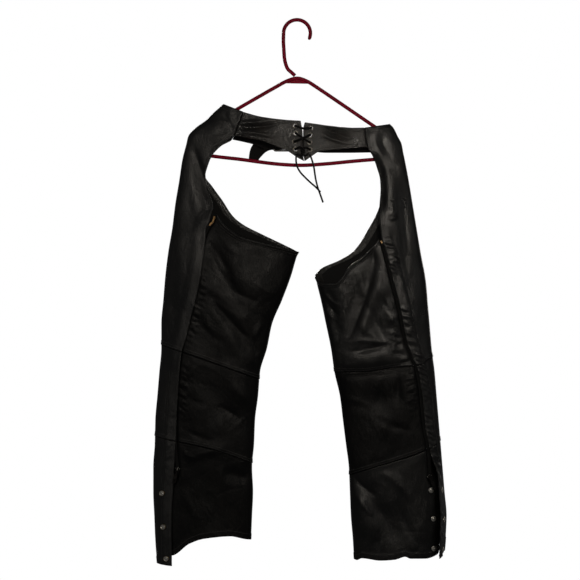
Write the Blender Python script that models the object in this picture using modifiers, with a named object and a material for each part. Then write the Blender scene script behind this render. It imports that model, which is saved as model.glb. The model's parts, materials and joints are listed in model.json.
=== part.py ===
"""Leather chaps with a laced back yoke, hung on a tubular plastic hanger.

Metres, +Z up. The origin is the underside of the hanger's hook, where a rail holds it.
The back of the garment faces -Y and is called near, its front faces +Y and is called far.
Left and right are the wearer's, which are also left and right seen from the back.
Tables are in millimetres.
"""

import math
from collections import namedtuple

import bmesh
import bpy
import numpy as np
from mathutils import Matrix, Vector

MM = 0.001
NEAR = -1
FAR = 1

# The leather and how it is cut
LEATHER = 1.6
BELT_LEATHER = 2.0
SEAM = 0.5
SQUARENESS = 2.6
INSEAM = 170.0
SEAM_ANGLE = 1.6
FLAP_LIFT = 2.6
FLAP_WIDTH = 34.0
FLAP_STEP = 20.0
CURL_WIDTH = 17.0

# Where columns stand between a panel's edges and the fold, as shares
NEAR_COLUMNS = (0, 0.16, 0.32, 0.55, 0.8, 1)
FAR_COLUMNS = (0.07, 0.16, 0.26, 0.36, 0.46, 0.56, 0.66, 0.76, 0.86, 0.95, 1)
BACK_COLUMNS = (0, 0.1, 0.2, 0.3, 0.4, 0.5, 0.6, 0.7, 0.8, 0.9, 0.96, 1)
YOKE_COLUMNS = 10

# The open flap at the bottom of the right leg
OPEN_FROM = -855.0
OPEN_OVER = 55.0
OPEN_SLANT = 0.40

# Hardware
TAPE_WIDTH = 7.0
TAPE_THICK = 1.2
SLIDER_SEAT = 1.2
SLIDER = (8.0, 3.2, 11.0)
LUG = (1.2, 3.4, 3.6)
LUG_X = 2.2
HINGE_OUT = 5.4
HINGE_DOWN = 3.4
PULL_BARREL = (1.2, 2.6)
PULL_NECK = (2.4, 1.2, 6.0)
PULL_BLADE = (6.4, 1.2, 18.0)
EYELET_HOLE = 3.1
EYELET_BARREL = 3.7
EYELET_RIM = 5.2
EYELET_RIM_BACK = 5.0
YOKE_HOLE = 4.1
SNAP_RADIUS = 6.2
LACE_RADIUS = 1.5
HANGER_RADIUS = 3.7
BUCKLE_ROD = 1.7
BUCKLE_TONGUE = 1.4
BUCKLE = {"heel": -46.0, "front": -10.0, "top": -226.5, "bottom": -257.7, "y": 22.0}

Section = namedtuple("Section", "z outer inner depth")
Edge = namedtuple("Edge", "x z")
Fold = namedtuple("Fold", "wall x0 z0 x1 z1 width depth")
Station = namedtuple("Station", "x_top z_top x_low z_low free y")
Place = namedtuple("Place", "x z")


def rows(kind, *values):
    return [kind(*row) for row in values]


# Width and depth of each leg's tube, whose inner fold is carried on above the crotch
LEFT_SECTIONS = rows(
    Section,
    (-150, -126, 150, 36),
    (-166, -147, 162, 37),
    (-182, -166, 174, 38),
    (-198, -182, 184, 38.5),
    (-214, -204, 194, 39),
    (-230, -218, 202, 40),
    (-246, -222, 210, 40),
    (-278, -230, 200, 42),
    (-318, -236, 150, 45),
    (-366, -244, 90, 50),
    (-414, -250, 34, 55),
    (-462, -258, 3, 59),
    (-510, -264, -12, 62),
    (-558, -268, -30, 62),
    (-606, -272, -50, 60),
    (-654, -272, -60, 58),
    (-702, -276, -74, 56),
    (-750, -280, -78, 55),
    (-798, -284, -84, 53),
    (-846, -285, -86, 52),
    (-894, -288, -90, 50),
    (-942, -288, -88, 50),
    (-990, -286, -90, 50),
    (-1038, -284, -92, 50),
    (-1092, -280, -94, 50),
)
RIGHT_SECTIONS = rows(
    Section,
    (-150, 150, -126, 36),
    (-166, 162, -147, 37),
    (-182, 174, -166, 38),
    (-206, 186, -193, 38.5),
    (-214, 194, -204, 39),
    (-230, 202, -218, 40),
    (-246, 210, -222, 40),
    (-262, 213, -220, 41),
    (-286, 218, -200, 42),
    (-318, 224, -160, 45),
    (-366, 232, -100, 50),
    (-414, 240, -40, 55),
    (-462, 248, 8, 59),
    (-510, 257, 36, 62),
    (-534, 260, 42, 63),
    (-558, 262, 48, 62),
    (-606, 266, 58, 60),
    (-654, 270, 68, 58),
    (-702, 276, 75, 56),
    (-750, 280, 86, 55),
    (-798, 284, 92, 53),
    (-846, 288, 98, 52),
    (-894, 292, 104, 51),
    (-942, 296, 106, 50),
    (-990, 300, 108, 50),
    (-1038, 298, 112, 50),
    (-1092, 295, 115, 50),
)

# The front's edge on the near wall: yoke seam, seat opening, then the flap's free edge
LEFT_NEAR = rows(
    Edge,
    (-106, -176),
    (-108, -182),
    (-117, -205.5),
    (-126, -229),
    (-134, -236),
    (-150, -248),
    (-170, -270),
    (-180, -294),
    (-184, -308),
    (-181, -332),
    (-171, -358),
    (-167.6, -372),
    (-171, -385),
    (-174, -401),
    (-181, -418),
    (-183.5, -454),
    (-192, -514),
    (-203, -564),
    (-212, -596),
    (-220, -632),
    (-229, -662),
    (-238, -758),
    (-242, -838),
    (-246, -918),
    (-250, -998),
    (-249, -1100),
)
RIGHT_NEAR = rows(
    Edge,
    (134.4, -206),
    (135, -213.6),
    (141, -254),
    (146, -262),
    (151, -270),
    (161, -294),
    (166.6, -318),
    (167.6, -342),
    (165.6, -366),
    (164, -384),
    (165, -402),
    (167, -430),
    (176, -460),
    (190, -518),
    (206, -582),
    (218, -640),
    (232, -678),
    (238, -690),
    (249.6, -756),
    (255.4, -814),
    (262.8, -855),
    (265.6, -888),
    (267, -920),
    (267, -1100),
)

# The front's edge on the far wall: belt seam, then the cut that runs down to the crotch
LEFT_FAR = rows(
    Edge,
    (-109, -176),
    (-110, -182),
    (-120.5, -209),
    (-131, -236),
    (-152, -248),
    (-172, -270),
    (-182, -294),
    (-184.5, -308),
    (-170, -330),
    (-150, -358),
    (-130, -388),
    (-112, -404),
    (-70, -426),
    (-24, -448),
    (0, -461),
    (20, -478),
)
RIGHT_FAR = rows(
    Edge,
    (136, -206),
    (137, -213.6),
    (150, -262),
    (155, -270),
    (163, -294),
    (168.5, -318),
    (169, -342),
    (168, -362),
    (164.6, -374),
    (159.4, -387),
    (147, -410),
    (116, -458),
    (86, -478),
    (50, -494),
    (36, -508),
    (20, -520),
)

# The back panel's edge beside the zip
LEFT_BACK = rows(
    Edge,
    (-159, -374),
    (-161, -385),
    (-165, -401),
    (-176, -418),
    (-184.5, -440),
    (-194, -514),
    (-213.6, -596),
    (-231, -662),
    (-240, -758),
    (-241, -800),
    (-240, -838),
    (-238, -870),
    (-235, -895),
    (-238, -915),
    (-249.5, -940),
    (-252, -998),
    (-251, -1100),
)
RIGHT_BACK = rows(
    Edge,
    (160, -420),
    (163, -432),
    (171, -460),
    (185, -518),
    (201, -582),
    (213, -640),
    (227, -678),
    (233, -690),
    (244.6, -756),
    (250.4, -814),
    (257.8, -855),
    (260.6, -888),
    (262, -915),
    (279.4, -944),
    (279.4, -969),
    (283, -1010),
    (284.6, -1041),
    (282, -1100),
)

# Cut lines across the legs, as height for each place across the leg
LEFT_BACK_TOP = rows(
    Edge,
    (-170, -375),
    (-166, -380),
    (-150, -402),
    (-130, -420),
    (-110, -432),
    (-70, -443),
    (-34, -452),
    (0, -461),
)
RIGHT_BACK_TOP = rows(
    Edge,
    (36, -509),
    (41, -517),
    (57, -525),
    (75, -525),
    (89, -513),
    (106, -489),
    (128, -474),
    (150, -452),
    (166, -433),
)
LEFT_KNEE = rows(Edge, (-290, -641), (-225, -663), (-77, -716), (-40, -729))
RIGHT_KNEE = rows(
    Edge, (40, -701), (77, -701), (136, -700), (196, -692), (242, -688), (266, -674), (290, -664)
)
LEFT_SHIN = rows(Edge, (-290, -828), (-276, -832), (-242, -840), (-168, -856), (-92, -884), (-60, -896))
RIGHT_SHIN = rows(Edge, (90, -913), (123, -902), (261, -856), (285, -840), (300, -835))
LEFT_BACK_HEM = rows(
    Edge,
    (-290, -1068),
    (-250, -1068),
    (-214, -1044),
    (-184, -1034),
    (-134, -1030),
    (-104, -1036),
    (-90, -1038),
)
RIGHT_BACK_HEM = rows(
    Edge,
    (112, -1074),
    (120, -1078),
    (130, -1074),
    (166, -1078),
    (196, -1076),
    (216, -1070),
    (226, -1074),
    (256, -1074),
    (280, -1066),
    (285, -1056),
)
LEFT_FLAP_HEM = rows(Edge, (-282, -1084), (-266, -1087), (-248, -1089))
LEFT_FRONT_HEM = rows(
    Edge, (-282, -1084), (-248, -1060), (-214, -1040), (-184, -1031), (-134, -1027), (-92, -1033)
)
RIGHT_FLAP_HEM = rows(Edge, (266, -1073), (280, -1071), (300, -1056))
RIGHT_FRONT_HEM = rows(Edge, (112, -1069), (200, -1070), (230, -1066), (262, -1056), (300, -1044))

# Largest folds: depth is outward for a ridge and inward, below zero, for a trough
LEFT_FOLDS = rows(
    Fold,
    (NEAR, -178, -452, -106, -590, 15, -5.0),
    (NEAR, -176, -540, -84, -672, 13, -5.5),
    (NEAR, -206, -474, -148, -604, 14, 2.6),
    (NEAR, -120, -486, -58, -560, 22, 2.8),
    (NEAR, -206, -700, -120, -806, 24, -3.2),
    (NEAR, -150, -676, -92, -780, 20, 2.6),
    (NEAR, -226, -874, -130, -846, 11, 3.0),
    (NEAR, -148, -900, -90, -918, 13, -4.0),
    (NEAR, -190, -900, -112, -1046, 26, -3.2),
    (NEAR, -214, -250, -184, -400, 10, -3.6),
    (NEAR, -252, -470, -262, -640, 16, -2.0),
    (FAR, -60, -500, -214, -620, 20, -4.0),
    (FAR, -226, -330, -150, -520, 18, -4.2),
    (FAR, -250, -690, -110, -760, 22, -3.6),
    (FAR, -120, -800, -214, -960, 26, -3.0),
)
RIGHT_FOLDS = rows(
    Fold,
    (NEAR, 150, -462, 82, -660, 17, -5.5),
    (NEAR, 166, -500, 120, -640, 16, 3.0),
    (NEAR, 60, -540, 86, -640, 12, -4.0),
    (NEAR, 196, -560, 214, -660, 10, -3.2),
    (NEAR, 66, -706, 236, -690, 10, -6.0),
    (NEAR, 90, -676, 200, -664, 16, 3.0),
    (NEAR, 200, -700, 204, -772, 8, -3.0),
    (NEAR, 90, -760, 190, -812, 22, 2.8),
    (NEAR, 104, -896, 214, -1050, 24, -4.6),
    (NEAR, 112, -930, 158, -1040, 18, 3.2),
    (NEAR, 216, -300, 226, -470, 13, -3.8),
    (NEAR, 192, -296, 190, -400, 12, 2.4),
    (FAR, 210, -380, 120, -560, 20, -4.6),
    (FAR, 80, -600, 220, -690, 18, -4.0),
    (FAR, 240, -760, 130, -850, 22, -3.4),
    (FAR, 140, -900, 230, -1040, 24, -3.4),
)

# Each yoke half: cut edges and the eyelets beside the lacing
LEFT_YOKE_TOP = rows(Edge, (-110, -181.5), (-70, -192), (-24, -198), (8, -200))
LEFT_YOKE_LOW = rows(
    Edge, (-128, -229), (-70, -240), (-40, -252), (-18, -261), (-2, -272), (14.5, -281)
)
LEFT_YOKE_CENTRE = rows(
    Edge, (7, -199), (9.4, -211), (10.2, -216), (11.2, -221), (11.6, -238), (11.3, -264),
    (14.6, -282)
)
RIGHT_YOKE_TOP = rows(Edge, (15, -203), (66, -210), (106, -214), (136, -213.6))
RIGHT_YOKE_LOW = rows(Edge, (15, -281), (28, -272), (46, -261), (96, -256), (142, -252))
RIGHT_YOKE_CENTRE = rows(
    Edge, (16.2, -202), (13.2, -211), (12.6, -216), (12.1, -221), (12.5, -238), (12.2, -264),
    (15.5, -282)
)
LEFT_EYELETS = rows(Place, (-3.6, -210.2), (-3.0, -225.0), (-5.0, -241.6), (-3.2, -257.4))
RIGHT_EYELETS = rows(Place, (28.0, -214.4), (26.4, -228.6), (25.4, -243.2), (25.8, -257.4))

# Front belt: where its top and bottom edges run; free is 0 on the leg's far wall, 1 at y
BELT_LEFT = rows(
    Station,
    (None, -184, None, -235.6, 0, 0),
    (-98, -192, -108, -240, 0, 0),
    (-80, -206, -84, -246, 0.5, 19),
    (-66, -221, -66, -253, 1, 19),
    (-54, -230.2, -54, -254.2, 1, 19),
)
BELT_RETURN_X = -68
BELT_RIGHT = rows(
    Station,
    (None, -215, None, -261.4, 0, 0),
    (100, -218, 104, -262, 0, 0),
    (60, -226, 60, -262, 1, 19),
    (30, -229.5, 30, -259.5, 1, 19),
    (6, -228.8, 6, -256.4, 1, 19),
    (-14, -228.6, -14, -255.6, 1, 19),
    (-22, -228.6, -22, -255.6, 1, 21.4),
    (-32, -228.6, -32, -255.6, 1, 26.6),
    (-41, -228.6, -41, -255.6, 1, 28.6),
    (-52, -229, -50, -255.6, 1, 28.6),
    (-62, -231, -56, -256.6, 1, 28.8),
    (-76, -235.5, -61, -259, 1, 29.4),
    (-87, -242.5, -66, -262.6, 1, 30.2),
    (-93.6, -253, -70.6, -267.4, 1, 30.6),
    (-96.4, -265, -75.4, -272.8, 1, 30.4),
    (-97.6, -277.5, -78.6, -279, 1, 30),
)

ZIPS = {
    "left": {"top": -387.0, "bottom": -905.0, "slider": (-238.6, -897.0), "tilt": 14.0},
    "right": {"top": -436.0, "bottom": -917.0, "slider": (264.6, -912.0), "tilt": -22.0},
}
SNAP_CAPS = {
    "left": rows(Place, (-268.6, -943.8), (-266.4, -1011.2), (-260.4, -1074.4)),
    "right": (-938.0, -996.6, -1056.8),
}
SNAP_STUDS = rows(Place, (267.6, -937.4), (272.4, -994.6), (273.6, -1054.0))
STRIP_CAP_ANGLE = 0.52

# Hanger, as centre lines in the plane y = 0
HOOK_CENTRE = (0.0, -23.2)
HOOK_RADIUS = 26.9
HOOK_TIP_ANGLE = -29.0
SHANK = rows(Place, (-27.2, -40), (-26.2, -58), (-24.4, -78), (-19, -94), (-11, -101.8), (-3.9, -108.3))
LEFT_END = {"centre": (-191.5, -245.0), "radius": 21.6, "from": 120.0, "to": 263.0}
RIGHT_END = {"centre": (185.7, -254.9), "radius": 19.2, "from": 56.0, "to": -86.0}
APEX = rows(Place, (-48, -134.2), (-20, -119), (0, -113.6), (18, -118.6), (44, -134.6))
LEFT_ARM_END = Place(-114, -172)
RIGHT_ARM_END = Place(146, -204)
BAR = rows(
    Place,
    (-154, -271.5),
    (-114, -276),
    (-74, -281.5),
    (-34, -286),
    (10, -288),
    (60, -285),
    (106, -280.5),
    (146, -277),
)
WEB_CORNERS = rows(Place, (-23, -123.5), (0, -110), (25, -124.5))
WEB_THICK = 2.6


def smooth(table, key, value):
    """A curve through two columns of a table, which stays between its rows."""
    ordered = sorted(table, key=lambda row: getattr(row, key))
    at = np.array([getattr(row, key) for row in ordered], float)
    to = np.array([getattr(row, value) for row in ordered], float)
    step = np.diff(at)
    slope = np.diff(to) / step
    tilt = np.concatenate([slope[:1], np.zeros(len(slope) - 1), slope[-1:]])
    for i in range(1, len(slope)):
        if slope[i - 1] * slope[i] > 0:
            tilt[i] = 2 * slope[i - 1] * slope[i] / (slope[i - 1] + slope[i])

    def curve(x):
        x = np.clip(x, at[0], at[-1])
        i = np.clip(np.searchsorted(at, x) - 1, 0, len(step) - 1)
        t = (x - at[i]) / step[i]
        ends = to[i] * (1 + 2 * t) * (1 - t) ** 2 + to[i + 1] * t * t * (3 - 2 * t)
        return ends + step[i] * (tilt[i] * t * (1 - t) ** 2 - tilt[i + 1] * t * t * (1 - t))

    return curve


def eased(t):
    t = np.clip(t, 0, 1)
    return t * t * (3 - 2 * t)


def signed_power(value, power):
    return np.sign(value) * np.abs(value) ** power


class Leg:
    """One leg's tube. Angle 0 is its outer fold, -180 its inner fold by the near wall."""

    def __init__(self, name, sign, sections, near, far, back, folds):
        self.name = name
        self.sign = sign
        self.outer = smooth(sections, "z", "outer")
        self.inner = smooth(sections, "z", "inner")
        self.depth = smooth(sections, "z", "depth")
        self.near_x = smooth(near, "z", "x")
        self.far_x = smooth(far, "z", "x")
        self.back_x = smooth(back, "z", "x")
        self.folds = folds

    def middle_and_half(self, z):
        outer = self.outer(z) - self.sign * LEATHER / 2
        inner = self.inner(z) + self.sign * LEATHER / 2
        return (outer + inner) / 2, (outer - inner) / 2

    def angle_at(self, x, z, wall):
        middle, half = self.middle_and_half(z)
        across = np.clip((x - middle) / half, -1, 1)
        return wall * np.degrees(np.arccos(signed_power(across, SQUARENESS / 2)))

    def fold_depth(self, x, z, wall_side):
        total = 0.0
        for fold in self.folds:
            run = np.array([fold.x1 - fold.x0, fold.z1 - fold.z0], float)
            length = math.hypot(*run)
            along = ((x - fold.x0) * run[0] + (z - fold.z0) * run[1]) / length**2
            aside = ((x - fold.x0) * run[1] - (z - fold.z0) * run[0]) / length
            swell = np.sin(np.pi * np.clip(along, 0, 1)) ** 0.7
            ridge = fold.depth * swell * np.exp(-((aside / fold.width) ** 2))
            total = total + ridge * np.clip(fold.wall * wall_side * 1.6, 0, 1)
        return total

    def place(self, angle, z, out=0.0):
        """Points of the leather's middle surface, moved out by some millimetres."""
        turn = np.radians(angle)
        cosine = np.cos(turn)
        sine = np.sin(turn)
        middle, half = self.middle_and_half(z)
        depth = self.depth(z) / 2
        x = middle + half * signed_power(cosine, 2 / SQUARENESS)
        y = depth * signed_power(sine, 2 / SQUARENESS)
        normal_x = signed_power(cosine, 2 - 2 / SQUARENESS) / half
        normal_y = signed_power(sine, 2 - 2 / SQUARENESS) / depth
        size = np.hypot(normal_x, normal_y)
        out = out + self.fold_depth(x, z, sine)
        points = (x + normal_x / size * out, y + normal_y / size * out, z + 0 * x)
        return np.stack(points, axis=-1)

    def near_start(self, z):
        return self.angle_at(self.near_x(z), z, NEAR)

    def far_end(self, z):
        return np.minimum(self.angle_at(self.far_x(z), z, FAR), INSEAM)

    def back_start(self, z):
        return self.angle_at(self.back_x(z), z, NEAR)

    def back_end(self, z):
        return INSEAM - 360 + SEAM_ANGLE + 0 * z

    def open_share(self, z):
        if self.name == "left":
            return 0 * z
        return eased((OPEN_FROM - z) / OPEN_OVER)

    def front(self, angle, z):
        """The front's middle surface: it rises into the flap and curls at the seat edge."""
        base = self.place(angle, z)
        edge = self.place(self.near_start(z), z)
        from_edge = np.hypot(base[..., 0] - edge[..., 0], base[..., 1] - edge[..., 1])
        flap_from = -374 if self.name == "left" else -404
        flap = eased((flap_from - z) / 26) * eased((FLAP_WIDTH - from_edge) / FLAP_STEP)
        curl_depth = 2.5 if self.name == "left" else 8.0
        curl_rise = eased((-256 - z) / 40) * eased((z + 396) / 40)
        curl = curl_depth * curl_rise * eased((CURL_WIDTH - from_edge) / CURL_WIDTH)
        near = eased(-angle / 12)
        points = self.place(angle, z, near * (FLAP_LIFT * flap - curl))
        return self.swung(points, angle, z)

    def swung(self, points, angle, z):
        """The unfastened flap stands out from the outer fold, edge on."""
        share = (self.open_share(z) * (angle < 0))[..., None]
        fold = self.place(0 * z, z)
        along = np.hypot(points[..., 0] - fold[..., 0], points[..., 1] - fold[..., 1])
        slant = math.hypot(1, OPEN_SLANT)
        x = fold[..., 0] - OPEN_SLANT / slant * along
        y = fold[..., 1] - along / slant
        open_points = np.stack([x, y, points[..., 2]], axis=-1)
        return points * (1 - share) + open_points * share


LEFT = Leg("left", -1, LEFT_SECTIONS, LEFT_NEAR, LEFT_FAR, LEFT_BACK, LEFT_FOLDS)
RIGHT = Leg("right", 1, RIGHT_SECTIONS, RIGHT_NEAR, RIGHT_FAR, RIGHT_BACK, RIGHT_FOLDS)


def cut(near_table, far_table=None, shift=0.0):
    """A cut line's height for an angle and a place across the leg."""
    near = smooth(near_table, "x", "z")
    far = smooth(far_table or near_table, "x", "z")
    return lambda angle, x: np.where(angle < 0, near(x), far(x)) + shift


def waist_cut(tip_x, tip_z, slope):
    return lambda angle, x: tip_z - slope * np.abs(x - tip_x)


class Columns:
    """Spreads a panel's columns between its side edges, with one column on a fold."""

    def __init__(self, start, end, before, fold, after):
        self.start = start
        self.end = end
        self.fold = fold
        self.before = np.array(before, float)
        self.after = np.array(after, float)
        self.count = len(before) + len(after)

    def angles(self, z):
        z = z + np.zeros(self.count)
        split = len(self.before)
        start = self.start(z[..., :split])
        end = self.end(z[..., split:])
        first = start + (self.fold - start) * self.before
        second = self.fold + (end - self.fold) * self.after
        return np.concatenate([first, second], axis=-1)


class EvenColumns:
    """Spreads a panel's columns evenly between its side edges."""

    def __init__(self, start, end, count):
        self.start = start
        self.end = end
        self.count = count

    def angles(self, z):
        z = z + np.zeros(self.count)
        return self.start(z) + (self.end(z) - self.start(z)) * np.linspace(0, 1, self.count)


def settled(leg, columns, line):
    """Heights where a panel's columns meet a cut line."""
    z = np.full(columns.count, float(line(-1.0, 0.0)))
    for _ in range(60):
        angle = columns.angles(z)
        z = z + 0.4 * (line(angle, leg.place(angle, z)[..., 0]) - z)
    return z


def panel_points(leg, surface, columns, top, bottom, lines):
    """A grid between two side edges and two cut lines, as (lines, columns, 3)."""
    z_top = settled(leg, columns, top)
    z_bottom = settled(leg, columns, bottom)
    down = np.linspace(0, 1, lines + 1)[:, None]
    z = z_top + (z_bottom - z_top) * down
    return surface(columns.angles(z), z)


def clear_scene():
    for obj in list(bpy.data.objects):
        bpy.data.objects.remove(obj, do_unlink=True)


def new_collection(name):
    made = bpy.data.collections.new(name)
    bpy.context.scene.collection.children.link(made)
    return made


def material(name, colour, roughness, metallic=0.0):
    made = bpy.data.materials.new(name)
    made.use_nodes = True
    shader = made.node_tree.nodes["Principled BSDF"]
    shader.inputs["Base Color"].default_value = (*colour, 1.0)
    shader.inputs["Roughness"].default_value = roughness
    shader.inputs["Metallic"].default_value = metallic
    made.diffuse_color = (*colour, 1.0)
    return made


def link(name, mesh, finish, collection):
    obj = bpy.data.objects.new(name, mesh)
    if finish is not None:
        mesh.materials.clear()
        mesh.materials.append(finish)
    collection.objects.link(obj)
    return obj


def sheet_mesh(name, points):
    """An open sheet of quads through a grid of points in millimetres."""
    lines, columns = points.shape[:2]
    body = bmesh.new()
    corners = [[body.verts.new(Vector(p) * MM) for p in line] for line in points]
    for i in range(lines - 1):
        for j in range(columns - 1):
            body.faces.new(
                (corners[i][j], corners[i + 1][j], corners[i + 1][j + 1], corners[i][j + 1])
            )
    mesh = bpy.data.meshes.new(name)
    body.to_mesh(mesh)
    body.free()
    mesh.shade_smooth()
    return mesh


def leather_sheet(name, points, finish, collection, thick=LEATHER):
    obj = link(name, sheet_mesh(name, points), finish, collection)
    wall = obj.modifiers.new("wall", "SOLIDIFY")
    wall.thickness = thick * MM
    wall.offset = 0
    wall.use_even_offset = True
    return obj


def tube(name, points, radius, finish, collection, sides=2, cyclic=False):
    """A round rod along points in millimetres, with filled caps."""
    data = bpy.data.curves.new(name, "CURVE")
    data.dimensions = "3D"
    data.bevel_depth = radius * MM
    data.bevel_resolution = sides
    data.use_fill_caps = True
    spline = data.splines.new("POLY")
    spline.points.add(len(points) - 1)
    spline.use_cyclic_u = cyclic
    for target, point in zip(spline.points, points):
        target.co = (*(Vector(point) * MM), 1.0)
    data.materials.append(finish)
    obj = bpy.data.objects.new(name, data)
    collection.objects.link(obj)
    return obj


def as_mesh(obj):
    """The same rod as a mesh object, with its caps welded on."""
    bpy.context.view_layer.update()
    graph = bpy.context.evaluated_depsgraph_get()
    mesh = bpy.data.meshes.new_from_object(obj.evaluated_get(graph))
    body = bmesh.new()
    body.from_mesh(mesh)
    bmesh.ops.remove_doubles(body, verts=body.verts, dist=1e-6)
    body.to_mesh(mesh)
    body.free()
    made = bpy.data.objects.new(obj.name, mesh)
    made.matrix_world = obj.matrix_world
    for collection in obj.users_collection:
        collection.objects.link(made)
    name = obj.name
    bpy.data.objects.remove(obj, do_unlink=True)
    made.name = name
    return made


def boolean(obj, other, operation):
    step = obj.modifiers.new(other.name, "BOOLEAN")
    step.operation = operation
    step.object = other


def block(name, size, centre, collection, finish=None):
    """A box given by its size and centre in millimetres."""
    body = bmesh.new()
    bmesh.ops.create_cube(body, size=1.0)
    bmesh.ops.scale(body, verts=body.verts, vec=Vector(size) * MM)
    bmesh.ops.translate(body, verts=body.verts, vec=Vector(centre) * MM)
    mesh = bpy.data.meshes.new(name)
    body.to_mesh(mesh)
    body.free()
    return link(name, mesh, finish, collection)


def helper(obj):
    obj.hide_render = True
    obj.display_type = "WIRE"
    return obj


def turned(name, profile, closed, steps, finish, collection):
    """A profile of (radius, height) turned about its Z axis."""
    body = bmesh.new()
    corners = [body.verts.new((r * MM, 0, h * MM)) for r, h in profile]
    for a, b in zip(corners, corners[1:]):
        body.edges.new((a, b))
    if closed:
        body.edges.new((corners[-1], corners[0]))
    mesh = bpy.data.meshes.new(name)
    body.to_mesh(mesh)
    body.free()
    obj = link(name, mesh, finish, collection)
    screw = obj.modifiers.new("turn", "SCREW")
    screw.axis = "Z"
    screw.steps = steps
    screw.render_steps = steps
    screw.use_merge_vertices = True
    screw.merge_threshold = 1e-5
    screw.use_smooth_shade = True
    return obj


def axes_matrix(point, outward, up):
    """A frame whose -Y points outward, with Z as near to up as can be."""
    inward = -Vector(outward).normalized()
    across = inward.cross(Vector(up)).normalized()
    upward = across.cross(inward)
    turn = Matrix((across, inward, upward)).transposed().to_4x4()
    return Matrix.Translation(Vector(point) * MM) @ turn


def surface_frame(surface, angle, z, reach=4.0):
    """A point of a surface and the outward direction there, over a piece's own reach."""
    angle = float(angle)
    z = float(z)

    def at(turn, rise):
        return Vector(surface(np.array([angle + turn]), np.array([z + rise]))[0])

    centre = at(0, 0)
    turn = reach / max((at(1, 0) - centre).length, 0.1)
    around = at(turn, 0) - at(-turn, 0)
    up = at(0, reach) - at(0, -reach)
    outward = up.cross(around).normalized()
    middle = (at(turn, 0) + at(-turn, 0) + at(0, reach) + at(0, -reach)) / 4
    bulge = (middle - centre).dot(outward)
    return centre + outward * bulge / 2, outward


def facing_away(leg, point, direction):
    middle, _ = leg.middle_and_half(point.z)
    away = Vector((point.x - float(middle), point.y, 0))
    return direction if direction.dot(away) > 0 else -direction


def make_legs(leathers, collection):
    cuts = {
        "left": {
            "waist": waist_cut(-147, -166, 0.40),
            "seat": cut(LEFT_BACK_TOP),
            "knee": LEFT_KNEE,
            "shin": LEFT_SHIN,
            "front_hem": cut(LEFT_FLAP_HEM, LEFT_FRONT_HEM),
            "back_hem": cut(LEFT_BACK_HEM),
        },
        "right": {
            "waist": waist_cut(186, -206, 0.15),
            "seat": cut(RIGHT_BACK_TOP),
            "knee": RIGHT_KNEE,
            "shin": RIGHT_SHIN,
            "front_hem": cut(RIGHT_FLAP_HEM, RIGHT_FRONT_HEM),
            "back_hem": cut(RIGHT_BACK_HEM),
        },
    }
    edges = {}
    for leg in (LEFT, RIGHT):
        lines = cuts[leg.name]
        finish = leathers[leg.name]
        above = SEAM / 2
        fronts = (
            ("upper", lines["waist"], cut(lines["knee"], shift=above), 21),
            ("knee", cut(lines["knee"], shift=-above), cut(lines["shin"], shift=above), 6),
            ("lower", cut(lines["shin"], shift=-above), lines["front_hem"], 9),
        )
        columns = Columns(leg.near_start, leg.far_end, NEAR_COLUMNS, 0, FAR_COLUMNS)
        for part, top, bottom, count in fronts:
            points = panel_points(leg, leg.front, columns, top, bottom, count)
            leather_sheet(f"front_{part}_{leg.name}", points, finish, collection)
        backs = (
            ("upper", lines["seat"], cut(lines["knee"], shift=above), 9),
            ("knee", cut(lines["knee"], shift=-above), cut(lines["shin"], shift=above), 6),
            ("lower", cut(lines["shin"], shift=-above), lines["back_hem"], 8),
        )
        columns = Columns(leg.back_start, leg.back_end, BACK_COLUMNS, -180, (1,))
        edge = []
        for part, top, bottom, count in backs:
            points = panel_points(leg, leg.place, columns, top, bottom, count)
            leather_sheet(f"back_{part}_{leg.name}", points, finish, collection)
            edge += [(z, x) for x, _, z in points[:, 0]]
        edges[leg.name] = np.array(sorted(edge))
    return edges


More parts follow.
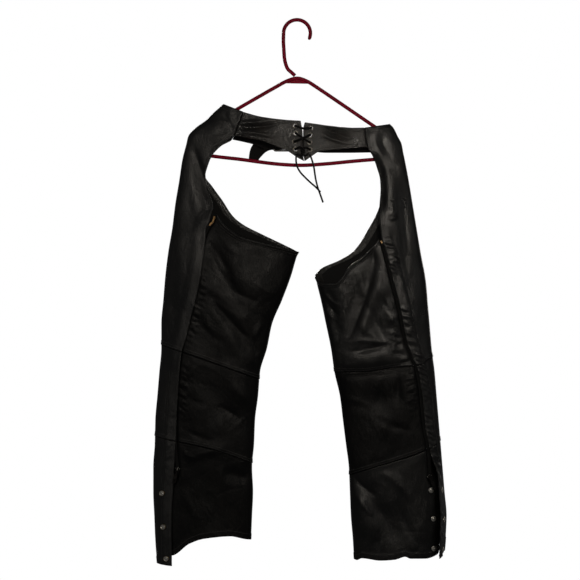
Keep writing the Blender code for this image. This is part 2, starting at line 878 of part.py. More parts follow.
def make_zip(leg, edge, finishes, collection):
    """The tape beside the back panel, the slider at its foot and the pull that hinges on it."""
    facts = ZIPS[leg.name]
    heights = [facts["top"]]
    for height in edge[::-1, 0]:
        if facts["bottom"] + 3 < height < heights[-1] - 3:
            heights.append(height)
    z = np.array(heights + [facts["bottom"]])[:, None]
    edge_x = np.interp(z, edge[:, 0], edge[:, 1])
    away = leg.sign * np.array([SEAM, TAPE_WIDTH / 2, TAPE_WIDTH])[None, :]
    angle = leg.angle_at(edge_x + away, z, NEAR)
    points = leg.place(angle, z + 0 * angle)
    leather_sheet(f"zip_tape_{leg.name}", points, finishes["tape"], collection, TAPE_THICK)

    x, height = facts["slider"]
    angle = leg.angle_at(x, height, NEAR)
    seat, outward = surface_frame(leg.place, angle, height)
    outward = facing_away(leg, seat, outward)
    tilt = math.radians(facts["tilt"])
    frame = axes_matrix(seat + outward * SLIDER_SEAT, outward, (math.sin(tilt), 0, math.cos(tilt)))

    helpers = bpy.data.collections["cutters"]
    width, thick, height = SLIDER
    slider = block(
        f"zip_slider_{leg.name}", SLIDER, (0, -thick / 2, 0), collection, finishes["metal"]
    )
    edge = slider.modifiers.new("edge", "BEVEL")
    edge.width = 0.8 * MM
    edge.segments = 1
    for side in (-1, 1):
        centre = (side * LUG_X, -thick - LUG[1] / 2 + 0.6, -HINGE_DOWN)
        lug = helper(block(f"lug_{leg.name}_{side}", LUG, centre, helpers))
        lug.matrix_world = frame
        boolean(slider, lug, "UNION")
    slider.matrix_world = frame

    hinge = frame @ Matrix.Translation(Vector((0, -HINGE_OUT, -HINGE_DOWN)) * MM)
    radius, length = PULL_BARREL
    blade_z = -PULL_NECK[2] - PULL_BLADE[2] / 2 + 0.8
    pull = block(
        f"zip_pull_{leg.name}", PULL_BLADE, (0, 0, blade_z), collection, finishes["pull"]
    )
    corner = pull.modifiers.new("corner", "BEVEL")
    corner.width = 0.5 * MM
    corner.segments = 1
    neck = helper(block(f"neck_{leg.name}", PULL_NECK, (0, 0, -PULL_NECK[2] / 2), helpers))
    body = bmesh.new()
    bmesh.ops.create_cone(
        body, cap_ends=True, segments=14, radius1=radius * MM, radius2=radius * MM,
        depth=length * MM, matrix=Matrix.Rotation(math.pi / 2, 4, "Y"),
    )
    mesh = bpy.data.meshes.new(f"barrel_{leg.name}")
    body.to_mesh(mesh)
    body.free()
    barrel = helper(link(f"barrel_{leg.name}", mesh, None, helpers))
    for piece in (neck, barrel):
        piece.matrix_world = hinge
        boolean(pull, piece, "UNION")
    pull.matrix_world = hinge


CAP_PROFILE = ((0, 2.5), (2.6, 2.4), (3.6, 1.9), (4.6, 2.1), (5.7, 1.6), (SNAP_RADIUS, 0.7),
               (SNAP_RADIUS - 0.2, 0), (0, 0))
STUD_PROFILE = ((0, 3.4), (2.3, 3.3), (2.6, 2.6), (2.2, 1.6), (2.4, 1.0), (5.4, 0.9), (5.6, 0), (0, 0))
EYELET_PROFILE = (
    (EYELET_BARREL, 2.0),
    (EYELET_RIM - 0.6, 2.0),
    (EYELET_RIM, 1.6),
    (EYELET_RIM, 1.1),
    (EYELET_BARREL, 1.1),
    (EYELET_BARREL, -1.1),
    (EYELET_RIM_BACK, -1.1),
    (EYELET_RIM_BACK, -1.9),
    (EYELET_HOLE, -1.9),
    (EYELET_HOLE, 1.7),
)


def stand_on(obj, point, outward):
    """Puts a turned piece on a surface, its own Z along the outward direction."""
    turn = Vector(outward).to_track_quat("Z", "Y").to_matrix().to_4x4()
    obj.matrix_world = Matrix.Translation(Vector(point) * MM) @ turn


def make_snaps(metal, collection):
    seat = LEATHER / 2 + 0.3
    for number, spot in enumerate(SNAP_CAPS["left"], 1):
        angle = LEFT.angle_at(spot.x, spot.z, NEAR)
        point, outward = surface_frame(LEFT.front, angle, spot.z)
        outward = facing_away(LEFT, point, outward)
        cap = turned(f"snap_cap_left_{number}", CAP_PROFILE, False, 12, metal, collection)
        stand_on(cap, point + outward * seat, outward)
    for number, z in enumerate(SNAP_CAPS["right"], 1):
        angle = RIGHT.near_start(z) * STRIP_CAP_ANGLE
        point, outward = surface_frame(RIGHT.front, angle, z)
        outward = outward if outward.x > 0 else -outward
        cap = turned(f"snap_cap_right_{number}", CAP_PROFILE, False, 12, metal, collection)
        stand_on(cap, point + outward * seat, outward)
    for number, spot in enumerate(SNAP_STUDS, 1):
        angle = RIGHT.angle_at(spot.x, spot.z, NEAR)
        point, outward = surface_frame(RIGHT.place, angle, spot.z)
        outward = facing_away(RIGHT, point, outward)
        stud = turned(f"snap_stud_right_{number}", STUD_PROFILE, False, 12, metal, collection)
        stand_on(stud, point + outward * seat, outward)


def yoke_point(leg, x, z):
    return leg.place(leg.angle_at(x, z, NEAR), z)


def make_yokes(finish, metal, collection):
    facts = (
        (LEFT, LEFT_YOKE_TOP, LEFT_YOKE_LOW, LEFT_YOKE_CENTRE, LEFT_EYELETS),
        (RIGHT, RIGHT_YOKE_TOP, RIGHT_YOKE_LOW, RIGHT_YOKE_CENTRE, RIGHT_EYELETS),
    )
    helpers = bpy.data.collections["cutters"]
    for leg, top, low, centre, eyelets in facts:
        centre_x = smooth(centre, "z", "x")

        def start(z, leg=leg):
            return leg.angle_at(leg.near_x(z) - leg.sign * SEAM, z, NEAR)

        def end(z, leg=leg, centre_x=centre_x):
            return leg.angle_at(centre_x(z), z, NEAR)

        columns = EvenColumns(start, end, YOKE_COLUMNS + 1)
        points = panel_points(leg, leg.place, columns, cut(top), cut(low), 6)
        yoke = leather_sheet(f"yoke_{leg.name}", points, finish, collection)
        for number, spot in enumerate(eyelets, 1):
            angle = leg.angle_at(spot.x, spot.z, NEAR)
            point, outward = surface_frame(leg.place, angle, spot.z)
            outward = facing_away(leg, point, outward)
            drill = turned(
                f"drill_{leg.name}_{number}",
                ((0, 6), (YOKE_HOLE, 6), (YOKE_HOLE, -6), (0, -6)), False, 12, None, helpers,
            )
            stand_on(helper(drill), point, outward)
            boolean(yoke, drill, "DIFFERENCE")
            ring = turned(
                f"eyelet_{leg.name}_{number}", EYELET_PROFILE, True, 12, metal, collection
            )
            stand_on(ring, point, outward)


def belt_points(leg, stations):
    """Grid across a belt's height; it leaves the leg's far wall where free rises to 1."""
    lines = []
    for row in stations:
        line = []
        for share in (0.0, 0.5, 1.0):
            z = row.z_top + (row.z_low - row.z_top) * share
            if row.x_top is None:
                x = leg.far_x(z) - leg.sign * 2 * SEAM
            else:
                x = row.x_top + (row.x_low - row.x_top) * share
            wall = leg.place(leg.angle_at(x, z, FAR), np.array(z))[1]
            line.append((x, wall + (row.y - wall) * row.free, z))
        lines.append(line)
    return np.array(lines)


def make_belt(finish, metal, collection):
    heel = BUCKLE["heel"]
    y = BUCKLE["y"]
    loop = y - 19
    last = BELT_LEFT[-1]
    turn = [
        Station(heel + loop * math.cos(a), last.z_top, heel + loop * math.cos(a), last.z_low,
                1, y + loop * math.sin(a))
        for a in np.radians((-90, -45, 0, 45, 90))
    ]
    back = Station(BELT_RETURN_X, last.z_top, BELT_RETURN_X, last.z_low, 1, y + loop)
    left = leather_sheet(
        "belt_left", belt_points(LEFT, BELT_LEFT + turn + [back]), finish, collection,
        BELT_LEATHER,
    )
    right = leather_sheet(
        "belt_right", belt_points(RIGHT, BELT_RIGHT), finish, collection, BELT_LEATHER
    )

    helpers = bpy.data.collections["cutters"]
    middle = (last.z_top + last.z_low) / 2
    slot = helper(block("tongue_slot", (9, 7.2, 4.2), (heel + 3, y + 1.9, middle), helpers))
    boolean(left, slot, "DIFFERENCE")
    hole_at = (BUCKLE["front"] - 16, y + 1, middle)
    hole = helper(block("strap_hole", (19, 12, 4.2), hole_at, helpers))
    boolean(right, hole, "DIFFERENCE")

    radius = 3.2
    front = BUCKLE["front"]
    top = BUCKLE["top"]
    bottom = BUCKLE["bottom"]
    corners = (
        (front - radius, top - radius, 0),
        (heel + radius, top - radius, 90),
        (heel + radius, bottom + radius, 180),
        (front - radius, bottom + radius, 270),
    )
    path = []
    for x, z, first in corners:
        for step in (0, 30, 60, 90):
            a = math.radians(first + step)
            path.append((x + radius * math.cos(a), y, z + radius * math.sin(a)))
    frame = as_mesh(tube("buckle", path, BUCKLE_ROD, metal, collection, cyclic=True))
    rest = y + BUCKLE_ROD + 0.3 + BUCKLE_TONGUE
    tongue = as_mesh(
        tube("tongue", [(heel, y, middle), (heel + 6, y + 0.8, middle),
                        (front - 3, rest - 0.1, middle), (front + 4, rest, middle)],
             BUCKLE_TONGUE, metal, helpers)
    )
    boolean(frame, helper(tongue), "UNION")


def through(points, step):
    """Evenly spread points along a smooth curve through the given ones."""
    given = [Vector(p) for p in points]
    ends = [given[0] * 2 - given[1], *given, given[-1] * 2 - given[-2]]
    fine = []
    for a, b, c, d in zip(ends, ends[1:], ends[2:], ends[3:]):
        for t in np.linspace(0, 1, 12, endpoint=False):
            curve = 2 * b + (c - a) * t + (2 * a - 5 * b + 4 * c - d) * t**2
            fine.append((curve + (3 * b - a - 3 * c + d) * t**3) / 2)
    fine.append(given[-1])
    lengths = np.concatenate([[0], np.cumsum([(q - p).length for p, q in zip(fine, fine[1:])])])
    wanted = np.linspace(0, lengths[-1], max(3, round(lengths[-1] / step)))
    table = np.array([tuple(p) for p in fine])
    return np.stack([np.interp(wanted, lengths, table[:, k]) for k in range(3)], axis=1)


KNOT = {"x": 11.6, "y": -27.2, "top": -255.0, "bottom": -270.0, "radius": 2.1}
LEFT_END_ROUTE = (
    (-1.6, -27.2, -270.6),
    (-2.0, -27.4, -277.0),
    (-1.2, -27.4, -286.0),
    (1.6, -27.6, -295.0),
    (8.0, -28.0, -305.0),
    (17.0, -28.6, -314.5),
    (27.0, -29.4, -324.0),
    (38.0, -30.4, -333.6),
    (46.6, -31.0, -342.8),
)
RIGHT_END_ROUTE = (
    (24.6, -27.0, -267.6),
    (27.6, -27.0, -272.6),
    (30.8, -26.8, -282.0),
    (33.4, -26.6, -292.0),
    (35.0, -26.4, -302.0),
    (36.4, -26.2, -312.0),
    (38.6, -26.0, -323.0),
    (41.6, -25.8, -334.0),
    (45.8, -25.6, -346.0),
    (52.0, -25.4, -363.6),
)


def lace_route():
    """The lace from its left free end, up one side, over the top and down to its right."""
    left = [yoke_point(LEFT, np.array(s.x), np.array(s.z)) for s in LEFT_EYELETS]
    right = [yoke_point(RIGHT, np.array(s.x), np.array(s.z)) for s in RIGHT_EYELETS]

    def outside(hole, dx=0.0, dz=0.0):
        return (hole[0] + dx, hole[1] - 4.5, hole[2] + dz)

    def bore(hole, inwards):
        steps = ((0, -1.9, 0), (0, 1.9, 0))
        return [tuple(hole + s) for s in (steps if inwards else steps[::-1])]

    def inside(upper, lower):
        middle = (upper + lower) / 2
        return [
            (upper[0], upper[1] + 4.3, upper[2] - 2.6),
            (middle[0], middle[1] + 4.7, middle[2]),
            (lower[0], lower[1] + 4.3, lower[2] + 2.6),
        ]

    def twist(first_angle, upwards):
        turns = np.linspace(0, 1, 13)
        made = []
        for t in turns[::-1] if upwards else turns:
            a = math.radians(first_angle + 540 * t)
            z = KNOT["top"] + (KNOT["bottom"] - KNOT["top"]) * t
            made.append(
                (KNOT["x"] + KNOT["radius"] * math.cos(a),
                 KNOT["y"] + KNOT["radius"] * math.sin(a), z)
            )
        return made

    exit_left = LEFT_END_ROUTE[0]
    exit_right = RIGHT_END_ROUTE[0]
    route = [(exit_left[0] + 0.1, exit_left[1], exit_left[2] + 0.3 + LACE_RADIUS / 5)]
    route += [(-0.4, -27.2, -267.4), (4.6, -27.4, -268.2)]
    route += twist(0, True)
    route += [(18.4, -26.4, -253.4), outside(right[3], -3.4, 1.6)]
    route += bore(right[3], True) + inside(right[2], right[3])[::-1] + bore(right[2], False)
    route += [outside(right[2], -2.8, 1.4), (11.2, -25.6, -234.6), outside(left[1], 2.8, -1.4)]
    route += bore(left[1], True) + inside(left[0], left[1])[::-1] + bore(left[0], False)
    route += [outside(left[0], 3.2, -0.6), (12.0, -25.0, -215.6), outside(right[0], -3.2, -0.4)]
    route += bore(right[0], True) + inside(right[0], right[1]) + bore(right[1], False)
    route += [outside(right[1], -3.0, -1.2), (17.6, -28.4, -232.6), (11.0, -29.4, -235.4),
              (4.4, -28.2, -238.4), outside(left[2], 3.0, 1.2)]
    route += bore(left[2], True) + inside(left[2], left[3]) + bore(left[3], False)
    route += [outside(left[3], 3.4, 1.6), (5.0, -26.6, -253.2)]
    route += twist(180, False)
    route += [(18.6, -27.2, -268.6), (22.4, -27.0, -265.8)]
    route += [(exit_right[0] - 0.7, exit_right[1], exit_right[2] + 1.2)]
    return route


def make_lace(finish, collection):
    tube("lace", through(lace_route(), 3.2), LACE_RADIUS, finish, collection, sides=1)
    tube("lace_end_left", through(LEFT_END_ROUTE, 4.0), LACE_RADIUS, finish, collection)
    tube("lace_end_right", through(RIGHT_END_ROUTE, 4.0), LACE_RADIUS, finish, collection)


def arc(centre, radius, first, last, count):
    turns = np.radians(np.linspace(first, last, count))
    return [(centre[0] + radius * math.cos(a), 0, centre[1] + radius * math.sin(a)) for a in turns]


def make_hanger(finish, collection):
    hook = arc(HOOK_CENTRE, HOOK_RADIUS, HOOK_TIP_ANGLE, 180, 16)
    shank = through([hook[-1]] + [(p.x, 0, p.z) for p in SHANK], 9.0)
    tube("hanger_hook", hook + list(shank[1:]), HANGER_RADIUS, finish, collection)

    left = arc(LEFT_END["centre"], LEFT_END["radius"], LEFT_END["to"] - 75, LEFT_END["from"], 8)
    right = arc(RIGHT_END["centre"], RIGHT_END["radius"], RIGHT_END["from"], RIGHT_END["to"] + 74, 8)
    arms = [*left, (LEFT_ARM_END.x, 0, LEFT_ARM_END.z)]
    arms += [(p.x, 0, p.z) for p in APEX]
    arms += [(RIGHT_ARM_END.x, 0, RIGHT_ARM_END.z), *right]
    shoulders = as_mesh(
        tube("hanger_shoulders", arms, HANGER_RADIUS, finish, collection)
    )
    web = bmesh.new()
    faces = [web.verts.new(Vector((p.x, -WEB_THICK / 2, p.z)) * MM) for p in WEB_CORNERS]
    face = web.faces.new(faces)
    pushed = bmesh.ops.extrude_face_region(web, geom=[face])
    moved = [v for v in pushed["geom"] if isinstance(v, bmesh.types.BMVert)]
    bmesh.ops.translate(web, verts=moved, vec=(0, WEB_THICK * MM, 0))
    bmesh.ops.recalc_face_normals(web, faces=web.faces)
    mesh = bpy.data.meshes.new("hanger_web")
    web.to_mesh(mesh)
    web.free()
    plate = helper(link("hanger_web", mesh, None, bpy.data.collections["cutters"]))
    boolean(shoulders, plate, "UNION")

    left_low = arc(LEFT_END["centre"], LEFT_END["radius"], LEFT_END["to"] - 71.5, LEFT_END["to"], 8)
    right_low = arc(RIGHT_END["centre"], RIGHT_END["radius"], RIGHT_END["to"], RIGHT_END["to"] + 70, 8)
    bar = left_low + [(p.x, 0, p.z) for p in BAR] + right_low
    tube("hanger_bar", bar, HANGER_RADIUS, finish, collection)


def main():
    clear_scene()
    chaps = new_collection("leather_chaps")
    new_collection("cutters")
    leathers = {
        "left": material("leather_left", (0.020, 0.019, 0.017), 0.55),
        "right": material("leather_right", (0.021, 0.019, 0.017), 0.42),
    }
    yoke_leather = material("leather_yoke", (0.030, 0.025, 0.021), 0.45)
    nickel = material("nickel", (0.62, 0.60, 0.55), 0.30, 1.0)
    plastic = material("hanger_plastic", (0.30, 0.012, 0.045), 0.30)
    finishes = {
        "tape": material("zip_tape", (0.012, 0.012, 0.012), 0.80),
        "metal": nickel,
        "pull": material("pull_metal", (0.20, 0.19, 0.17), 0.40, 1.0),
    }
    edges = make_legs(leathers, chaps)
    for leg in (LEFT, RIGHT):
        make_zip(leg, edges[leg.name], finishes, chaps)
    make_snaps(nickel, chaps)
    make_yokes(yoke_leather, nickel, chaps)
    make_belt(leathers["right"], nickel, chaps)
    make_lace(material("lace_leather", (0.010, 0.010, 0.010), 0.55), chaps)
    make_hanger(plastic, chaps)
    bpy.context.view_layer.update()


main()
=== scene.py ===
"""Looks for the leather chaps on a hanger: dense leather with its folds and stitching,
zips, snaps, eyelets, lace, buckle and the glossy hanger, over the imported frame.

Near is -Y, the back of the garment, which faces the camera. Tables are in millimetres.
The shapes come from the same tables as the solids, with finer folds added.
"""

import json
import math
from collections import namedtuple

import bmesh
import bpy
import numpy as np
from mathutils import Matrix, Vector

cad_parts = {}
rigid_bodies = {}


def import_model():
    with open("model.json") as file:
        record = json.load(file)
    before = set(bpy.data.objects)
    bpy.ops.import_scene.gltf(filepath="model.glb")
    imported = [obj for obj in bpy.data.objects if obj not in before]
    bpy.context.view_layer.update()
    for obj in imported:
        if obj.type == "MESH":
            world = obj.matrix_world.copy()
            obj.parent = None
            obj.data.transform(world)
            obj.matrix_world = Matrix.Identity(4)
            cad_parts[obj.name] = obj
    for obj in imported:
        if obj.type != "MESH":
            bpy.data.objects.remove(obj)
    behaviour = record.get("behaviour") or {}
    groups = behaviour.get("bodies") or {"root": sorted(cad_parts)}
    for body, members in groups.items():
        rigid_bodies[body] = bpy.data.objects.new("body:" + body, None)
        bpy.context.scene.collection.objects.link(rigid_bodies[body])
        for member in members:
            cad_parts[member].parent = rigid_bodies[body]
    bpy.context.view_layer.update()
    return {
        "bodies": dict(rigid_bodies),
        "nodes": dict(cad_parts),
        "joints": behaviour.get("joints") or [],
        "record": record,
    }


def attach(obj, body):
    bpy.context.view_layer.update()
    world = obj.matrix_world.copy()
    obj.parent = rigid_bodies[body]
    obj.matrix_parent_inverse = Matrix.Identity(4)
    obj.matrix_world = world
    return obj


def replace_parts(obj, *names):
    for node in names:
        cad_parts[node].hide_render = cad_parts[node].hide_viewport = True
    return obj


MM = 0.001
NEAR = -1
FAR = 1

# The leather and how it is cut
LEATHER = 1.6
BELT_LEATHER = 2.0
SEAM = 0.5
SQUARENESS = 2.6
INSEAM = 170.0
SEAM_ANGLE = 1.6
FLAP_LIFT = 2.6
FLAP_WIDTH = 34.0
FLAP_STEP = 20.0
CURL_WIDTH = 17.0

# Where columns stand between a panel's edges and the fold, as shares
NEAR_COLUMNS = (0, 0.16, 0.32, 0.55, 0.8, 1)
FAR_COLUMNS = (0.07, 0.16, 0.26, 0.36, 0.46, 0.56, 0.66, 0.76, 0.86, 0.95, 1)
BACK_COLUMNS = (0, 0.1, 0.2, 0.3, 0.4, 0.5, 0.6, 0.7, 0.8, 0.9, 0.96, 1)

# The open flap at the bottom of the right leg
OPEN_FROM = -855.0
OPEN_OVER = 55.0
OPEN_SLANT = 0.40

# Hardware
TAPE_WIDTH = 7.0
TAPE_THICK = 1.2
SLIDER_SEAT = 1.2
SLIDER = (8.0, 3.2, 11.0)
LUG = (1.2, 3.4, 3.6)
LUG_X = 2.2
HINGE_OUT = 5.4
HINGE_DOWN = 3.4
PULL_BARREL = (1.2, 2.6)
PULL_NECK = (2.4, 1.2, 6.0)
PULL_BLADE = (6.4, 1.2, 18.0)
EYELET_HOLE = 3.1
EYELET_BARREL = 3.7
EYELET_RIM = 5.2
EYELET_RIM_BACK = 5.0
YOKE_HOLE = 4.1
SNAP_RADIUS = 6.2
LACE_RADIUS = 1.5
HANGER_RADIUS = 3.7
BUCKLE_ROD = 1.7
BUCKLE_TONGUE = 1.4
BUCKLE = {"heel": -46.0, "front": -10.0, "top": -226.5, "bottom": -257.7, "y": 22.0}

Section = namedtuple("Section", "z outer inner depth")
Edge = namedtuple("Edge", "x z")
Fold = namedtuple("Fold", "wall x0 z0 x1 z1 width depth")
Station = namedtuple("Station", "x_top z_top x_low z_low free y")
Place = namedtuple("Place", "x z")


def rows(kind, *values):
    return [kind(*row) for row in values]


# Width and depth of each leg's tube, whose inner fold is carried on above the crotch
LEFT_SECTIONS = rows(
    Section,
    (-150, -126, 150, 36),
    (-166, -147, 162, 37),
    (-182, -166, 174, 38),
    (-198, -182, 184, 38.5),
    (-214, -204, 194, 39),
    (-230, -218, 202, 40),
    (-246, -222, 210, 40),
    (-278, -230, 200, 42),
    (-318, -236, 150, 45),
    (-366, -244, 90, 50),
    (-414, -250, 34, 55),
    (-462, -258, 3, 59),
    (-510, -264, -12, 62),
    (-558, -268, -30, 62),
    (-606, -272, -50, 60),
    (-654, -272, -60, 58),
    (-702, -276, -74, 56),
    (-750, -280, -78, 55),
    (-798, -284, -84, 53),
    (-846, -285, -86, 52),
    (-894, -288, -90, 50),
    (-942, -288, -88, 50),
    (-990, -286, -90, 50),
    (-1038, -284, -92, 50),
    (-1092, -280, -94, 50),
)
RIGHT_SECTIONS = rows(
    Section,
    (-150, 150, -126, 36),
    (-166, 162, -147, 37),
    (-182, 174, -166, 38),
    (-206, 186, -193, 38.5),
    (-214, 194, -204, 39),
    (-230, 202, -218, 40),
    (-246, 210, -222, 40),
    (-262, 213, -220, 41),
    (-286, 218, -200, 42),
    (-318, 224, -160, 45),
    (-366, 232, -100, 50),
    (-414, 240, -40, 55),
    (-462, 248, 8, 59),
    (-510, 257, 36, 62),
    (-534, 260, 42, 63),
    (-558, 262, 48, 62),
    (-606, 266, 58, 60),
    (-654, 270, 68, 58),
    (-702, 276, 75, 56),
    (-750, 280, 86, 55),
    (-798, 284, 92, 53),
    (-846, 288, 98, 52),
    (-894, 292, 104, 51),
    (-942, 296, 106, 50),
    (-990, 300, 108, 50),
    (-1038, 298, 112, 50),
    (-1092, 295, 115, 50),
)

# The front's edge on the near wall: yoke seam, seat opening, then the flap's free edge
LEFT_NEAR = rows(
    Edge,
    (-106, -176),
    (-108, -182),
    (-117, -205.5),
    (-126, -229),
    (-134, -236),
    (-150, -248),
    (-170, -270),
    (-180, -294),
    (-184, -308),
    (-181, -332),
    (-171, -358),
    (-167.6, -372),
    (-171, -385),
    (-174, -401),
    (-181, -418),
    (-183.5, -454),
    (-192, -514),
    (-203, -564),
    (-212, -596),
    (-220, -632),
    (-229, -662),
    (-238, -758),
    (-242, -838),
    (-246, -918),
    (-250, -998),
    (-249, -1100),
)
RIGHT_NEAR = rows(
    Edge,
    (134.4, -206),
    (135, -213.6),
    (141, -254),
    (146, -262),
    (151, -270),
    (161, -294),
    (166.6, -318),
    (167.6, -342),
    (165.6, -366),
    (164, -384),
    (165, -402),
    (167, -430),
    (176, -460),
    (190, -518),
    (206, -582),
    (218, -640),
    (232, -678),
    (238, -690),
    (249.6, -756),
    (255.4, -814),
    (262.8, -855),
    (265.6, -888),
    (267, -920),
    (267, -1100),
)

# The front's edge on the far wall: belt seam, then the cut that runs down to the crotch
LEFT_FAR = rows(
    Edge,
    (-109, -176),
    (-110, -182),
    (-120.5, -209),
    (-131, -236),
    (-152, -248),
    (-172, -270),
    (-182, -294),
    (-184.5, -308),
    (-170, -330),
    (-150, -358),
    (-130, -388),
    (-112, -404),
    (-70, -426),
    (-24, -448),
    (0, -461),
    (20, -478),
)
RIGHT_FAR = rows(
    Edge,
    (136, -206),
    (137, -213.6),
    (150, -262),
    (155, -270),
    (163, -294),
    (168.5, -318),
    (169, -342),
    (168, -362),
    (164.6, -374),
    (159.4, -387),
    (147, -410),
    (116, -458),
    (86, -478),
    (50, -494),
    (36, -508),
    (20, -520),
)

# The back panel's edge beside the zip
LEFT_BACK = rows(
    Edge,
    (-159, -374),
    (-161, -385),
    (-165, -401),
    (-176, -418),
    (-184.5, -440),
    (-194, -514),
    (-213.6, -596),
    (-231, -662),
    (-240, -758),
    (-241, -800),
    (-240, -838),
    (-238, -870),
    (-235, -895),
    (-238, -915),
    (-249.5, -940),
    (-252, -998),
    (-251, -1100),
)
RIGHT_BACK = rows(
    Edge,
    (160, -420),
    (163, -432),
    (171, -460),
    (185, -518),
    (201, -582),
    (213, -640),
    (227, -678),
    (233, -690),
    (244.6, -756),
    (250.4, -814),
    (257.8, -855),
    (260.6, -888),
    (262, -915),
    (279.4, -944),
    (279.4, -969),
    (283, -1010),
    (284.6, -1041),
    (282, -1100),
)

# Cut lines across the legs, as height for each place across the leg
LEFT_BACK_TOP = rows(
    Edge,
    (-170, -375),
    (-166, -380),
    (-150, -402),
    (-130, -420),
    (-110, -432),
    (-70, -443),
    (-34, -452),
    (0, -461),
)
RIGHT_BACK_TOP = rows(
    Edge,
    (36, -509),
    (41, -517),
    (57, -525),
    (75, -525),
    (89, -513),
    (106, -489),
    (128, -474),
    (150, -452),
    (166, -433),
)
LEFT_KNEE = rows(Edge, (-290, -641), (-225, -663), (-77, -716), (-40, -729))
RIGHT_KNEE = rows(
    Edge, (40, -701), (77, -701), (136, -700), (196, -692), (242, -688), (266, -674), (290, -664)
)
LEFT_SHIN = rows(Edge, (-290, -828), (-276, -832), (-242, -840), (-168, -856), (-92, -884), (-60, -896))
RIGHT_SHIN = rows(Edge, (90, -913), (123, -902), (261, -856), (285, -840), (300, -835))
LEFT_BACK_HEM = rows(
    Edge,
    (-290, -1068),
    (-250, -1068),
    (-214, -1044),
    (-184, -1034),
    (-134, -1030),
    (-104, -1036),
    (-90, -1038),
)
RIGHT_BACK_HEM = rows(
    Edge,
    (112, -1074),
    (120, -1078),
    (130, -1074),
    (166, -1078),
    (196, -1076),
    (216, -1070),
    (226, -1074),
    (256, -1074),
    (280, -1066),
    (285, -1056),
)
LEFT_FLAP_HEM = rows(Edge, (-282, -1084), (-266, -1087), (-248, -1089))
LEFT_FRONT_HEM = rows(
    Edge, (-282, -1084), (-248, -1060), (-214, -1040), (-184, -1031), (-134, -1027), (-92, -1033)
)
RIGHT_FLAP_HEM = rows(Edge, (266, -1073), (280, -1071), (300, -1056))
RIGHT_FRONT_HEM = rows(Edge, (112, -1069), (200, -1070), (230, -1066), (262, -1056), (300, -1044))

# Largest folds: depth is outward for a ridge and inward, below zero, for a trough
LEFT_FOLDS = rows(
    Fold,
    (NEAR, -178, -452, -106, -590, 15, -5.0),
    (NEAR, -176, -540, -84, -672, 13, -5.5),
    (NEAR, -206, -474, -148, -604, 14, 2.6),
    (NEAR, -120, -486, -58, -560, 22, 2.8),
    (NEAR, -206, -700, -120, -806, 24, -3.2),
    (NEAR, -150, -676, -92, -780, 20, 2.6),
    (NEAR, -226, -874, -130, -846, 11, 3.0),
    (NEAR, -148, -900, -90, -918, 13, -4.0),
    (NEAR, -190, -900, -112, -1046, 26, -3.2),
    (NEAR, -214, -250, -184, -400, 10, -3.6),
    (NEAR, -252, -470, -262, -640, 16, -2.0),
    (FAR, -60, -500, -214, -620, 20, -4.0),
    (FAR, -226, -330, -150, -520, 18, -4.2),
    (FAR, -250, -690, -110, -760, 22, -3.6),
    (FAR, -120, -800, -214, -960, 26, -3.0),
)
RIGHT_FOLDS = rows(
    Fold,
    (NEAR, 150, -462, 82, -660, 17, -5.5),
    (NEAR, 166, -500, 120, -640, 16, 3.0),
    (NEAR, 60, -540, 86, -640, 12, -4.0),
    (NEAR, 196, -560, 214, -660, 10, -3.2),
    (NEAR, 66, -706, 236, -690, 10, -6.0),
    (NEAR, 90, -676, 200, -664, 16, 3.0),
    (NEAR, 200, -700, 204, -772, 8, -3.0),
    (NEAR, 90, -760, 190, -812, 22, 2.8),
    (NEAR, 104, -896, 214, -1050, 24, -4.6),
    (NEAR, 112, -930, 158, -1040, 18, 3.2),
    (NEAR, 216, -300, 226, -470, 13, -3.8),
    (NEAR, 192, -296, 190, -400, 12, 2.4),
    (FAR, 210, -380, 120, -560, 20, -4.6),
    (FAR, 80, -600, 220, -690, 18, -4.0),
    (FAR, 240, -760, 130, -850, 22, -3.4),
    (FAR, 140, -900, 230, -1040, 24, -3.4),
)

# Each yoke half: cut edges and the eyelets beside the lacing
LEFT_YOKE_TOP = rows(Edge, (-110, -181.5), (-70, -192), (-24, -198), (8, -200))
LEFT_YOKE_LOW = rows(
    Edge, (-128, -229), (-70, -240), (-40, -252), (-18, -261), (-2, -272), (14.5, -281)
)
LEFT_YOKE_CENTRE = rows(
    Edge, (7, -199), (9.4, -211), (10.2, -216), (11.2, -221), (11.6, -238), (11.3, -264),
    (14.6, -282)
)
RIGHT_YOKE_TOP = rows(Edge, (15, -203), (66, -210), (106, -214), (136, -213.6))
RIGHT_YOKE_LOW = rows(Edge, (15, -281), (28, -272), (46, -261), (96, -256), (142, -252))
RIGHT_YOKE_CENTRE = rows(
    Edge, (16.2, -202), (13.2, -211), (12.6, -216), (12.1, -221), (12.5, -238), (12.2, -264),
    (15.5, -282)
)
LEFT_EYELETS = rows(Place, (-3.6, -210.2), (-3.0, -225.0), (-5.0, -241.6), (-3.2, -257.4))
RIGHT_EYELETS = rows(Place, (28.0, -214.4), (26.4, -228.6), (25.4, -243.2), (25.8, -257.4))

